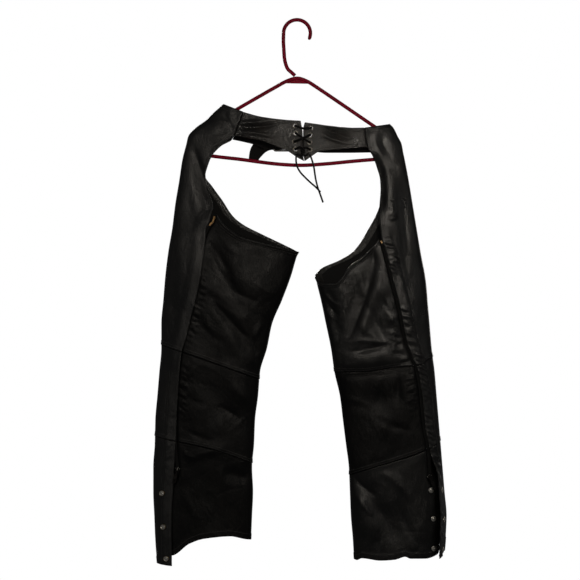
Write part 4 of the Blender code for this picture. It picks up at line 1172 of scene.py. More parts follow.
def metal(name, colour, rough, wear=0.5):
    n = Nodes(name)
    patches = n.noise(420, 5, 0.6)
    dull = tuple(c * wear for c in colour)
    tone = n.blend(n.spread(patches, 0.45, 0.8), colour, dull)
    gloss = n.spread(n.noise(900, 4), 0.3, 0.7, rough * 0.7, rough * 1.5)
    scratches = n.noise(1500, 3, 0.5, n.stretched((1.0, 1.0, 0.12), (0.3, 0.6, 0.0)))
    return n.finish(tone, gloss, n.bump(scratches, 0.12, 0.00012), Metallic=1.0)


def plastic(name, colour, deep, rough):
    n = Nodes(name)
    swirl = n.noise(24, 4, 0.5, n.stretched((1.0, 1.0, 1.0)), 0.8)
    tone = n.blend(n.spread(swirl, 0.3, 0.7), colour, deep)
    gloss = n.spread(n.noise(160, 4), 0.3, 0.7, rough * 0.8, rough * 1.5)
    return n.finish(tone, gloss, n.bump(n.noise(520, 3), 0.08, 0.0002), Coat_Weight=0.0, Specular_IOR_Level=0.16,
                    Coat_Roughness=0.12, Subsurface_Weight=0.04)


def woven(name, colour):
    n = Nodes(name)
    over = n.stripes(330, "X")
    under = n.stripes(330, "Z")
    weave = n.add("ShaderNodeMath", operation="MULTIPLY")
    n.join(over, weave.inputs[0])
    n.join(under, weave.inputs[1])
    tone = n.blend(weave.outputs[0], tuple(c * 0.5 for c in colour), colour)
    return n.finish(tone, 0.85, n.bump(weave.outputs[0], 0.7, 0.0004))


def resampled(shares, times):
    index = np.arange(len(shares))
    fine = np.linspace(0, len(shares) - 1, (len(shares) - 1) * times + 1)
    return np.interp(fine, index, shares)


def spaced(columns, kind):
    """The solid's columns, several times as dense."""
    if kind == "front":
        before = resampled(columns[0], 7)
        after = resampled((0, *columns[1]), 8)[1:]
    else:
        before = resampled(columns[0], 8)
        after = (0.34, 0.67, 1)
    return before, after


def panel(leg, surface, columns, top, bottom):
    z_top = settled(leg, columns, top)
    z_bottom = settled(leg, columns, bottom)
    lines = int(np.max(z_top - z_bottom) / CLOTH_STEP) + 1
    down = np.linspace(0, 1, lines + 1)[:, None]
    z = z_top + (z_bottom - z_top) * down
    return surface(columns.angles(z), z)


def make_legs(looks):
    cuts = {
        "left": (waist_cut(-147, -166, 0.40), cut(LEFT_BACK_TOP), LEFT_KNEE, LEFT_SHIN,
                 cut(LEFT_FLAP_HEM, LEFT_FRONT_HEM), cut(LEFT_BACK_HEM)),
        "right": (waist_cut(186, -206, 0.15), cut(RIGHT_BACK_TOP), RIGHT_KNEE, RIGHT_SHIN,
                  cut(RIGHT_FLAP_HEM, RIGHT_FRONT_HEM), cut(RIGHT_BACK_HEM)),
    }
    above = SEAM / 2
    tapes = {}
    for leg in (LEFT, RIGHT):
        waist, seat, knee, shin, front_hem, back_hem = cuts[leg.name]
        hide = looks[f"leather_{leg.name}"]
        flap_from = -690 if leg.name == "left" else -424
        columns = Columns(leg.near_start, leg.far_end, spaced((NEAR_COLUMNS, FAR_COLUMNS), "front")[0],
                          0, spaced((NEAR_COLUMNS, FAR_COLUMNS), "front")[1])
        stitches = []
        for part, top, bottom in (
            ("upper", waist, cut(knee, shift=above)),
            ("knee", cut(knee, shift=-above), cut(shin, shift=above)),
            ("lower", cut(shin, shift=-above), front_hem),
        ):
            points = panel(leg, leg.front, columns, top, bottom)
            normal = outward_normals(leg, points)
            flap = eased((flap_from - points[..., 2]) / 20)
            drawn, raised = PUCKERS[leg.name]
            points = puckered(points, normal, "start", 23, drawn, flap, 11 + len(part))
            points = raised_edge(points, normal, "start", 22.0, raised, flap)
            ridge = np.exp(-(((distance_from(points, "start") - 24.0) / 1.6) ** 2))
            points = points - normal * (ridge * raised * 0.7 * flap)[..., None]
            points = raised_edge(points, normal, "start", 7.0, 0.45, 1 - flap)
            if part == "upper":
                points = raised_edge(points, normal, "top", 11.0, 0.5)
                hem = eased((points[..., 2] + 540) / 40)
                points = puckered(points, normal, "end", 16, 0.55, hem, 53)
                points = raised_edge(points, normal, "end", 8.0, 0.6, hem)
                stitches.append(inset(points, normal, "top", 3.0, (4, 4)))
                stitches.append(inset(points, normal, "top", 9.5, (9, 9)))
                stitches.append(inset(points, normal, "end", 3.0, (4, 4), lambda z: z > -500))
                stitches.append(inset(points, normal, "end", 7.5, (9, 8), lambda z: z > -490))
                turned_in = inset(points, -normal, "end", 16.0, (6, 6), lambda z: z > -560)
                lines_inside = [turned_in, inset(points, -normal, "end", 3.4, (6, 6), lambda z: z > -560)]
                capsule_rows(f"stitches_facing_{leg.name}", lines_inside, looks["thread"], LEATHER / 2)
            if part != "lower":
                points = raised_edge(points, normal, "bottom", 8.5, 0.7)
                points = raised_edge(points, normal, "bottom", 2.0, 0.5)
                stitches.append(inset(points, normal, "bottom", 2.4, (3, 2)))
                stitches.append(inset(points, normal, "bottom", 7.4, (3, 2)))
            else:
                points = raised_edge(points, normal, "bottom", 13.0, 0.6)
                stitches.append(inset(points, normal, "bottom", 11.0, (3, 2)))
            stitches.append(inset(points, normal, "start", 2.6, (2, 2)))
            stitches.append(
                inset(points, normal, "start", 21.0, (2, 2), lambda z, low=flap_from: z < low - 8)
            )
            name = f"front_{part}_{leg.name}"
            # The faced band takes the lighter facing leather, a painted highlight along the crotch edge.
            faced = [("end", 17.0)] if part == "upper" else []
            obj = cloth(name + "_leather", points, normal, hide, looks["inside"], faced=faced,
                        facing=looks["facing"])
        capsule_rows(f"stitches_front_{leg.name}", stitches, looks["thread"], LEATHER / 2)

        before, after = spaced((BACK_COLUMNS, ()), "back")
        columns = Columns(leg.back_start, leg.back_end, before, -180, after)
        stitches = []
        edge = []
        for part, top, bottom in (
            ("upper", seat, cut(knee, shift=above)),
            ("knee", cut(knee, shift=-above), cut(shin, shift=above)),
            ("lower", cut(shin, shift=-above), back_hem),
        ):
            points = panel(leg, leg.place, columns, top, bottom)
            normal = outward_normals(leg, points)
            z = points[..., 2]
            if leg.name == "left":
                gathered = eased((-486 - z) / 20) * eased((z + 800) / 30)
                gathered = gathered * (1 - 0.75 * eased((-650 - z) / 10) * eased((z + 690) / 10))
                points = puckered(points, normal, "start", 20, 1.35, gathered, 29 + len(part))
            else:
                gathered = eased((-560 - z) / 20) * eased((z + 790) / 20)
                points = puckered(points, normal, "start", 26, 0.7, gathered, 37 + len(part))
            points = raised_edge(points, normal, "start", 4.2, -1.1)
            if part == "upper":
                points = raised_edge(points, normal, "top", 8.0, 0.8)
                points = raised_edge(points, normal, "top", 3.4, 0.5)
                stitches.append(inset(points, normal, "top", 2.4, (3, 2)))
                stitches.append(inset(points, normal, "top", 7.2, (3, 2)))
            if part != "lower":
                points = raised_edge(points, normal, "bottom", 8.5, 0.7)
                points = raised_edge(points, normal, "bottom", 2.0, 0.5)
                stitches.append(inset(points, normal, "bottom", 2.4, (8, 2)))
                stitches.append(inset(points, normal, "bottom", 7.4, (8, 2)))
            else:
                points = raised_edge(points, normal, "bottom", 13.0, 0.6)
                stitches.append(inset(points, normal, "bottom", 11.0, (3, 2)))
            edge += [(z, x) for x, _, z in points[:, 0]]
            name = f"back_{part}_{leg.name}"
            # The faced band along the top hem takes the lighter facing leather: a painted highlight line.
            faced = [("top", 9.0)] if part == "upper" else []
            # Back panels take a darker copy of the leather, and the back knee panels of both legs the darkest
            # one: painted shade.
            worn = looks["back_left" if part == "knee" else f"back_{leg.name}"]
            obj = cloth(name + "_leather", points, normal, worn, looks["inside"], faced=faced,
                        facing=looks["facing"])
        capsule_rows(f"stitches_back_{leg.name}", stitches, looks["thread"], LEATHER / 2)
        tapes[leg.name] = np.array(sorted(edge))
    return tapes


def make_tape(leg, edge, looks):
    facts = ZIPS[leg.name]
    z = np.linspace(facts["top"], facts["bottom"], 170)[:, None]
    edge_x = np.interp(z, edge[:, 0], edge[:, 1])
    away = leg.sign * np.linspace(SEAM * 0.6, TAPE_WIDTH, 5)[None, :]
    points = leg.place(leg.angle_at(edge_x + away, z, NEAR), z + 0 * away)
    normal = outward_normals(leg, points)
    name = f"zip_tape_{leg.name}"
    cloth(name + "_woven", points, normal, looks["tape"], looks["tape"], TAPE_THICK, name)
    shown = inset(points, normal, "start", 2.2, (2, 4))
    hidden = inset(points, normal, "start", 5.6, (2, 4))
    count = min(len(shown), len(hidden))
    open_part = eased((shown[:count, 2:3] - (facts["top"] - TORN_OPEN[leg.name])) / 10)
    line = hidden[:count] + (shown[:count] - hidden[:count]) * open_part
    line = line[(open_part[:, 0] > 0.02) | (np.arange(count) % 4 < 0)]
    run = np.concatenate([[0], np.cumsum(np.linalg.norm(np.diff(line[:, :3], axis=0), axis=1))])
    spots = np.arange(0.5 * TOOTH_PITCH, run[-1], TOOTH_PITCH / 2)
    corners = []
    faces = []
    for i, spot in enumerate(spots):
        centre = np.array([np.interp(spot, run, line[:, k]) for k in range(3)])
        out = np.array([np.interp(spot, run, line[:, 3 + k]) for k in range(3)])
        ahead = np.array([np.interp(spot + 1, run, line[:, k]) for k in range(3)]) - centre
        out /= np.linalg.norm(out)
        ahead /= max(np.linalg.norm(ahead), 1e-9)
        across = np.cross(out, ahead)
        centre = centre + out * (TAPE_THICK / 2 + 0.5) + across * (0.7 if i % 2 else -0.7)
        first = len(corners)
        for high, wide, tall in ((-0.5, 1.5, 0.46), (0.2, 1.5, 0.46), (0.5, 1.1, 0.28)):
            for a, b in ((-1, -1), (1, -1), (1, 1), (-1, 1)):
                corners.append(centre + out * high + across * a * wide + ahead * b * tall)
        for ring in (0, 4):
            for k in range(4):
                a = first + ring + k
                b = first + ring + (k + 1) % 4
                faces.append((a, b, b + 4, a + 4))
        faces.append((first, first + 3, first + 2, first + 1))
        faces.append((first + 8, first + 9, first + 10, first + 11))
    mesh = bpy.data.meshes.new(f"zip_teeth_{leg.name}")
    mesh.from_pydata((np.array(corners) * MM).tolist(), [], faces)
    show(f"zip_teeth_{leg.name}", mesh, looks["brass"])


def hinge_frame(side):
    place, across, up = (Vector(v) for v in PULL_HINGES[side])
    across = across.normalized()
    inward = up.cross(across).normalized()
    up = across.cross(inward)
    turn = Matrix((across, inward, up)).transposed().to_4x4()
    return Matrix.Translation(place) @ turn


def edge_bevel(obj, width, segments=3):
    step = obj.modifiers.new("edge", "BEVEL")
    step.width = width * MM
    step.segments = segments
    step.limit_method = "ANGLE"
    return obj


def moved_mesh(obj, frame):
    """Moves a mesh's own points, so that its object stays at the origin."""
    obj.data.transform(frame)
    return obj


def plate(name, outline, thick, material, body, frame):
    """A flat piece from outlines of (x, z), the later ones being holes."""
    curve = bpy.data.curves.new(name, "CURVE")
    curve.dimensions = "2D"
    curve.fill_mode = "BOTH"
    curve.extrude = thick / 2 * MM
    curve.bevel_depth = 0.18 * MM
    curve.bevel_resolution = 1
    for line in outline:
        spline = curve.splines.new("POLY")
        spline.points.add(len(line) - 1)
        spline.use_cyclic_u = True
        for target, (x, z) in zip(spline.points, line):
            target.co = (x * MM, z * MM, 0, 1)
    source = bpy.data.objects.new(name + "_curve", curve)
    bpy.context.scene.collection.objects.link(source)
    bpy.context.view_layer.update()
    graph = bpy.context.evaluated_depsgraph_get()
    mesh = bpy.data.meshes.new_from_object(source.evaluated_get(graph))
    bpy.data.objects.remove(source, do_unlink=True)
    mesh.name = name
    obj = show(name, mesh, material, body)
    stand = Matrix.Rotation(math.pi / 2, 4, "X")
    return moved_mesh(obj, frame @ stand)


def rounded(cx, cz, w, h, r, steps=5):
    points = []
    for sx, sz, first in ((1, 1, 0), (-1, 1, 90), (-1, -1, 180), (1, -1, 270)):
        for k in range(steps + 1):
            a = math.radians(first + 90 * k / steps)
            points.append((cx + sx * (w / 2 - r) + r * math.cos(a), cz + sz * (h / 2 - r) + r * math.sin(a)))
    return points


def lump(name, size, centre, bevel, material, body, frame):
    mesh = bpy.data.meshes.new(name)
    form = bmesh.new()
    bmesh.ops.create_cube(form, size=1.0)
    bmesh.ops.scale(form, verts=form.verts, vec=Vector(size) * MM)
    bmesh.ops.translate(form, verts=form.verts, vec=Vector(centre) * MM)
    form.to_mesh(mesh)
    form.free()
    obj = show(name, mesh, material, body)
    mesh.shade_smooth()
    return edge_bevel(moved_mesh(obj, frame), bevel)


def make_slider(side, looks):
    hinge = hinge_frame(side)
    slider = hinge @ Matrix.Translation(Vector((0, HINGE_OUT, HINGE_DOWN)) * MM)
    width, thick, height = SLIDER
    body = lump(f"zip_slider_{side}_body", (width, thick, height), (0, -thick / 2, 0), 0.9,
                looks["pull"], BODY, slider)
    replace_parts(body, f"zip_slider_{side}")
    shoulder = [(-4.6, -1.6, 2.6), (-3.2, -2.0, 4.2), (-1.2, -2.2, 5.0), (1.2, -2.2, 5.0),
                (3.2, -2.0, 4.2), (4.6, -1.6, 2.6)]
    rod(f"zip_slider_{side}_shoulder", [slider @ (Vector(p) * MM) for p in shoulder], 0.75,
        looks["nickel"], scale=1.0)
    for k in (-1, 1):
        lump(f"zip_slider_{side}_lug_{'a' if k < 0 else 'b'}", LUG,
             (k * LUG_X, -thick - LUG[1] / 2 + 0.6, -HINGE_DOWN), 0.4, looks["pull"], BODY, slider)
    bridge = [(0, -2.6, 4.2), (0, -4.6, 3.8), (0, -5.6, 2.4), (0, -5.6, 0.6), (0, -4.6, -0.4), (0, -2.8, -0.8)]
    rod(f"zip_slider_{side}_bridge", [slider @ (Vector(p) * MM) for p in bridge], 0.85,
        looks["nickel" if side == "left" else "pull"], scale=1.0)
    pull_body = f"pull_{side}"
    top = -2.0
    low = -PULL_NECK[2] - PULL_BLADE[2] + 0.8
    outline = [rounded(0, low + 9.2, PULL_BLADE[0], 18.4, 2.9), rounded(0, low + 5.6, 2.8, 6.0, 1.35)]
    blade = plate(f"zip_pull_{side}_blade", outline, 0.9, looks["pull"], pull_body, hinge)
    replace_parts(blade, f"zip_pull_{side}")
    lump(f"zip_pull_{side}_neck", (2.4, 1.1, 5.6), (0, 0, top - 1.4), 0.35, looks["pull"], pull_body, hinge)
    rod(f"zip_pull_{side}_barrel", [hinge @ (Vector((x, 0, 0)) * MM) for x in (-1.3, 1.3)], 1.15,
        looks["pull"], scale=1.0, body=pull_body)


def rod(name, points, radius, material, scale=MM, body=BODY, cyclic=False, resolution=5, ends=None):
    data = bpy.data.curves.new(name, "CURVE")
    data.dimensions = "3D"
    data.bevel_depth = radius * MM
    data.bevel_resolution = resolution
    data.use_fill_caps = True
    spline = data.splines.new("POLY")
    spline.points.add(len(points) - 1)
    spline.use_cyclic_u = cyclic
    spline.use_smooth = True
    for k, (target, point) in enumerate(zip(spline.points, points)):
        target.co = (*(Vector(point) * scale), 1.0)
        if ends is not None:
            target.radius = ends[k]
    return show(name, data, material, body)


def turned(name, profile, material, frame, body=BODY, closed=False, steps=36):
    form = bmesh.new()
    corners = [form.verts.new((r * MM, 0, h * MM)) for r, h in profile]
    for a, b in zip(corners, corners[1:]):
        form.edges.new((a, b))
    if closed:
        form.edges.new((corners[-1], corners[0]))
    bmesh.ops.spin(form, geom=form.verts[:] + form.edges[:], cent=(0, 0, 0), axis=(0, 0, 1),
                   angle=2 * math.pi, steps=steps, use_merge=True)
    bmesh.ops.remove_doubles(form, verts=form.verts, dist=1e-6)
    bmesh.ops.recalc_face_normals(form, faces=form.faces)
    mesh = bpy.data.meshes.new(name)
    form.to_mesh(mesh)
    form.free()
    mesh.shade_smooth()
    mesh.transform(frame)
    return show(name, mesh, material, body)


def surface_frame(surface, angle, z, reach=4.0):
    angle = float(angle)
    z = float(z)

    def at(turn, rise):
        return Vector(surface(np.array([angle + turn]), np.array([z + rise]))[0])

    centre = at(0, 0)
    turn = reach / max((at(1, 0) - centre).length, 0.1)
    around = at(turn, 0) - at(-turn, 0)
    up = at(0, reach) - at(0, -reach)
    outward = up.cross(around).normalized()
    middle = (at(turn, 0) + at(-turn, 0) + at(0, reach) + at(0, -reach)) / 4
    bulge = (middle - centre).dot(outward)
    return centre + outward * bulge / 2, outward


def facing_away(leg, point, direction):
    middle, _ = leg.middle_and_half(point.z)
    away = Vector((point.x - float(middle), point.y, 0))
    return direction if direction.dot(away) > 0 else -direction


def standing(point, outward):
    turn = Vector(outward).to_track_quat("Z", "Y").to_matrix().to_4x4()
    return Matrix.Translation(Vector(point) * MM) @ turn


CAP_PROFILE = ((0, 2.5), (1.2, 2.45), (2.2, 2.2), (2.8, 1.6), (3.2, 1.3), (3.6, 1.5), (4.2, 1.9),
               (4.7, 1.9), (5.0, 1.5), (5.1, 0.9), (5.0, 0.0), (0, 0))
RIM_PROFILE = ((5.2, 1.3), (5.5, 1.35), (5.9, 1.1), (6.2, 0.6), (6.2, 0.2), (6.0, 0.0), (5.2, 0.0))
STUD_PROFILE = ((0, 3.3), (1.0, 3.35), (1.9, 3.2), (2.4, 2.8), (2.5, 2.4), (2.2, 1.9), (2.1, 1.4), (2.4, 1.0),
                (3.4, 0.95), (4.8, 0.9), (5.4, 0.6), (5.6, 0.2), (5.4, 0.0), (0, 0))
EYELET_PROFILE = ((3.1, 1.5), (3.2, 1.85), (3.5, 2.05), (4.0, 2.1), (4.6, 1.95), (5.0, 1.6), (5.2, 1.15),
                  (5.1, 1.0), (3.7, 1.0), (3.7, -1.1), (4.9, -1.1), (5.0, -1.5), (4.6, -1.85), (3.8, -1.9),
                  (3.2, -1.8), (3.1, -1.4))


def make_snaps(looks):
    seat = LEATHER / 2 + 0.25
    for number, spot in enumerate(SNAP_CAPS["left"], 1):
        angle = LEFT.angle_at(spot.x, spot.z, NEAR)
        point, outward = surface_frame(LEFT.front, angle, spot.z)
        outward = facing_away(LEFT, point, outward)
        cap = turned(f"snap_cap_left_{number}_dome", CAP_PROFILE, looks["nickel"],
                     standing(point + outward * seat, outward))
        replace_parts(cap, f"snap_cap_left_{number}")
        turned(f"snap_cap_left_{number}_rim", RIM_PROFILE, looks["rim"],
               standing(point + outward * seat, outward), closed=True)
    for number, z in enumerate(SNAP_CAPS["right"], 1):
        angle = RIGHT.near_start(z) * STRIP_CAP_ANGLE
        point, outward = surface_frame(RIGHT.front, angle, z)
        outward = outward if outward.x > 0 else -outward
        cap = turned(f"snap_cap_right_{number}_dome", CAP_PROFILE, looks["nickel"],
                     standing(point + outward * seat, outward))
        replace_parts(cap, f"snap_cap_right_{number}")
        turned(f"snap_cap_right_{number}_rim", RIM_PROFILE, looks["rim"],
               standing(point + outward * seat, outward), closed=True)
    for number, spot in enumerate(SNAP_STUDS, 1):
        angle = RIGHT.angle_at(spot.x, spot.z, NEAR)
        point, outward = surface_frame(RIGHT.place, angle, spot.z)
        outward = facing_away(RIGHT, point, outward)
        stud = turned(f"snap_stud_right_{number}_post", STUD_PROFILE, looks["nickel"],
                      standing(point + outward * seat, outward))
        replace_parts(stud, f"snap_stud_right_{number}")


def yoke_point(leg, x, z):
    return Leg.place(leg, leg.angle_at(x, z, NEAR), z)


def make_yokes(looks):
    facts = (
        (LEFT, LEFT_YOKE_TOP, LEFT_YOKE_LOW, LEFT_YOKE_CENTRE, LEFT_EYELETS),
        (RIGHT, RIGHT_YOKE_TOP, RIGHT_YOKE_LOW, RIGHT_YOKE_CENTRE, RIGHT_EYELETS),
    )
    for leg, top, low, centre, eyelets in facts:
        centre_x = smooth(centre, "z", "x")

        def start(z, leg=leg):
            return leg.angle_at(leg.near_x(z) + leg.sign * YOKE_LAP, z, NEAR)

        def end(z, leg=leg, centre_x=centre_x):
            return leg.angle_at(centre_x(z), z, NEAR)

        columns = EvenColumns(start, end, 64)
        z_top = settled(leg, columns, cut(top))
        z_low = settled(leg, columns, cut(low))
        z = z_top + (z_low - z_top) * np.linspace(0, 1, 44)[:, None]
        points = leg.place(columns.angles(z), z)
        normal = outward_normals(leg, points)
        normal = normal * np.sign(-normal[..., 1:2])
        for side, width, height in (("top", 8, 0.45), ("bottom", 8, 0.45), ("end", 4, 0.3)):
            points = raised_edge(points, normal, side, width, height)
        under = eased((YOKE_LAP + 2.4 - distance_from(points, "start")) / 3.2)
        points = points - normal * (under * 2.0)[..., None]
        stitches = [
            inset(points, normal, "top", 2.6, (3, 3)),
            inset(points, normal, "top", 7.0, (3, 6)),
            inset(points, normal, "bottom", 2.6, (3, 3)),
            inset(points, normal, "bottom", 7.0, (3, 8)),
        ]
        name = f"yoke_{leg.name}"
        # The yoke's lighter leather carries painted sheen besides its wear.
        yoke = cloth(name + "_leather", points, normal, looks["yoke"], looks["inside"])
        capsule_rows(f"stitches_yoke_{leg.name}", stitches, looks["thread"], LEATHER / 2)
        for number, spot in enumerate(eyelets, 1):
            angle = leg.angle_at(spot.x, spot.z, NEAR)
            point, outward = surface_frame(leg.place, angle, spot.z)
            outward = facing_away(leg, point, outward)
            frame = standing(point, outward)
            form = bmesh.new()
            bmesh.ops.create_cone(form, cap_ends=True, segments=24, radius1=YOKE_HOLE * MM,
                                  radius2=YOKE_HOLE * MM, depth=12 * MM, matrix=frame)
            mesh = bpy.data.meshes.new(f"drill_{leg.name}_{number}")
            form.to_mesh(mesh)
            form.free()
            drill = bpy.data.objects.new(mesh.name, mesh)
            bpy.context.scene.collection.objects.link(drill)
            step = yoke.modifiers.new(drill.name, "BOOLEAN")
            step.operation = "DIFFERENCE"
            step.object = drill
            ring = turned(f"eyelet_{leg.name}_{number}_ring", EYELET_PROFILE, looks["eyelet"], frame,
                          closed=True)
            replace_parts(ring, f"eyelet_{leg.name}_{number}")
        settle_modifiers(yoke, "drill_")


def settle_modifiers(obj, helpers):
    """Writes an object's modifiers into its mesh and removes the cutters named so."""
    bpy.context.view_layer.update()
    graph = bpy.context.evaluated_depsgraph_get()
    mesh = bpy.data.meshes.new_from_object(obj.evaluated_get(graph))
    obj.modifiers.clear()
    obj.data = mesh
    for other in [o for o in bpy.data.objects if o.name.startswith(helpers)]:
        bpy.data.objects.remove(other, do_unlink=True)


def belt_grid(leg, stations):
    lines = []
    for row in stations:
        line = []
        for share in (0.0, 0.5, 1.0):
            z = row.z_top + (row.z_low - row.z_top) * share
            if row.x_top is None:
                x = leg.far_x(z) - leg.sign * 2 * SEAM
            else:
                x = row.x_top + (row.x_low - row.x_top) * share
            wall = Leg.place(leg, leg.angle_at(x, z, FAR), np.array(z))[1]
            line.append((x, wall + (row.y - wall) * row.free, z))
        lines.append(line)
    coarse = np.array(lines, float)
    run = np.concatenate([[0], np.cumsum(np.linalg.norm(np.diff(coarse[:, 1], axis=0), axis=1))])
    dense = np.linspace(0, run[-1], int(run[-1] / 1.6))
    table = [namedtuple("Row", "at " + " ".join(f"c{k}" for k in range(9)))(a, *line.reshape(-1))
             for a, line in zip(run, coarse)]
    long = np.stack([smooth(table, "at", f"c{k}")(dense) for k in range(9)], axis=1).reshape(-1, 3, 3)
    share = np.linspace(0, 2, 15)
    low = np.floor(np.clip(share, 0, 1.999)).astype(int)
    part = (share - low)[None, :, None]
    return long[:, low] * (1 - part) + long[:, low + 1] * part


def make_belt(looks):
    heel = BUCKLE["heel"]
    y = BUCKLE["y"]
    loop = y - 19
    last = BELT_LEFT[-1]
    middle = (last.z_top + last.z_low) / 2
    turn = [
        Station(heel + loop * math.cos(a), last.z_top, heel + loop * math.cos(a), last.z_low,
                1, y + loop * math.sin(a))
        for a in np.radians((-90, -60, -30, 0, 30, 60, 90))
    ]
    back = Station(BELT_RETURN_X, last.z_top, BELT_RETURN_X, last.z_low, 1, y + loop)
    for leg, stations, slot in (
        (LEFT, BELT_LEFT + turn + [back], ((9, 7.2, 4.2), (heel + 3, y + 1.9, middle))),
        (RIGHT, BELT_RIGHT, ((19, 12, 4.2), (BUCKLE["front"] - 16, y + 1, middle))),
    ):
        points = belt_grid(leg, stations)
        normal = normals_of(points)
        if np.mean(normal[:8, :, 1]) < 0:
            normal = -normal
        name = f"belt_{leg.name}"
        belt = cloth(name + "_strap", points, normal, looks["belt"], looks["inside"], BELT_LEATHER, name)
        frame = Matrix.Translation(Vector(slot[1]) * MM)
        form = bmesh.new()
        bmesh.ops.create_cube(form, size=1.0)
        bmesh.ops.scale(form, verts=form.verts, vec=Vector(slot[0]) * MM)
        bmesh.ops.transform(form, verts=form.verts, matrix=frame)
        mesh = bpy.data.meshes.new(f"slot_{leg.name}")
        form.to_mesh(mesh)
        form.free()
        cutter = bpy.data.objects.new(mesh.name, mesh)
        bpy.context.scene.collection.objects.link(cutter)
        step = belt.modifiers.new("slot", "BOOLEAN")
        step.operation = "DIFFERENCE"
        step.object = cutter
        settle_modifiers(belt, "slot_")
        stitches = [inset(points, normal, side, 2.6, (6, 6)) for side in ("start", "end")]
        capsule_rows(f"stitches_belt_{leg.name}", stitches, looks["thread"], BELT_LEATHER / 2)

    radius = 3.2
    front = BUCKLE["front"]
    top = BUCKLE["top"]
    bottom = BUCKLE["bottom"]
    path = []
    for x, z, first in (
        (front - radius, top - radius, 0),
        (heel + radius, top - radius, 90),
        (heel + radius, bottom + radius, 180),
        (front - radius, bottom + radius, 270),
    ):
        for step in np.linspace(0, 90, 9):
            a = math.radians(first + step)
            path.append((x + radius * math.cos(a), y, z + radius * math.sin(a)))
    frame = rod("buckle_frame", path, BUCKLE_ROD, looks["nickel"], cyclic=True, resolution=6)
    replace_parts(frame, "buckle")
    rest = y + BUCKLE_ROD + 0.3 + BUCKLE_TONGUE
    tongue = through([(heel - 1, y + 2.4, middle), (heel + 3, y + 1.4, middle), (heel + 8, y + 1.6, middle),
                      (front - 4, rest - 0.1, middle), (front + 4, rest, middle)], 1.5)
    sizes = [1.0] * (len(tongue) - 2) + [0.85, 0.55]
    rod("buckle_tongue", tongue, BUCKLE_TONGUE, looks["nickel"], ends=sizes)


def through(points, step):
    """Evenly spread points along a smooth curve through the given ones."""
    given = [Vector(p) for p in points]
    ends = [given[0] * 2 - given[1], *given, given[-1] * 2 - given[-2]]
    fine = []
    for a, b, c, d in zip(ends, ends[1:], ends[2:], ends[3:]):
        for t in np.linspace(0, 1, 12, endpoint=False):
            curve = 2 * b + (c - a) * t + (2 * a - 5 * b + 4 * c - d) * t**2
            fine.append((curve + (3 * b - a - 3 * c + d) * t**3) / 2)
    fine.append(given[-1])
    lengths = np.concatenate([[0], np.cumsum([(q - p).length for p, q in zip(fine, fine[1:])])])
    wanted = np.linspace(0, lengths[-1], max(3, round(lengths[-1] / step)))
    table = np.array([tuple(p) for p in fine])
    return np.stack([np.interp(wanted, lengths, table[:, k]) for k in range(3)], axis=1)


KNOT = {"x": 11.6, "y": -27.2, "top": -255.0, "bottom": -270.0, "radius": 2.1}
LEFT_END_ROUTE = (
    (-1.6, -27.2, -270.6),
    (-2.0, -27.4, -277.0),
    (-1.2, -27.4, -286.0),
    (1.6, -27.6, -295.0),
    (8.0, -28.0, -305.0),
    (17.0, -28.6, -314.5),
    (27.0, -29.4, -324.0),
    (38.0, -30.4, -333.6),
    (46.6, -31.0, -342.8),
)
RIGHT_END_ROUTE = (
    (24.6, -27.0, -267.6),
    (27.6, -27.0, -272.6),
    (30.8, -26.8, -282.0),
    (33.4, -26.6, -292.0),
    (35.0, -26.4, -302.0),
    (36.4, -26.2, -312.0),
    (38.6, -26.0, -323.0),
    (41.6, -25.8, -334.0),
    (45.8, -25.6, -346.0),
    (52.0, -25.4, -363.6),
)


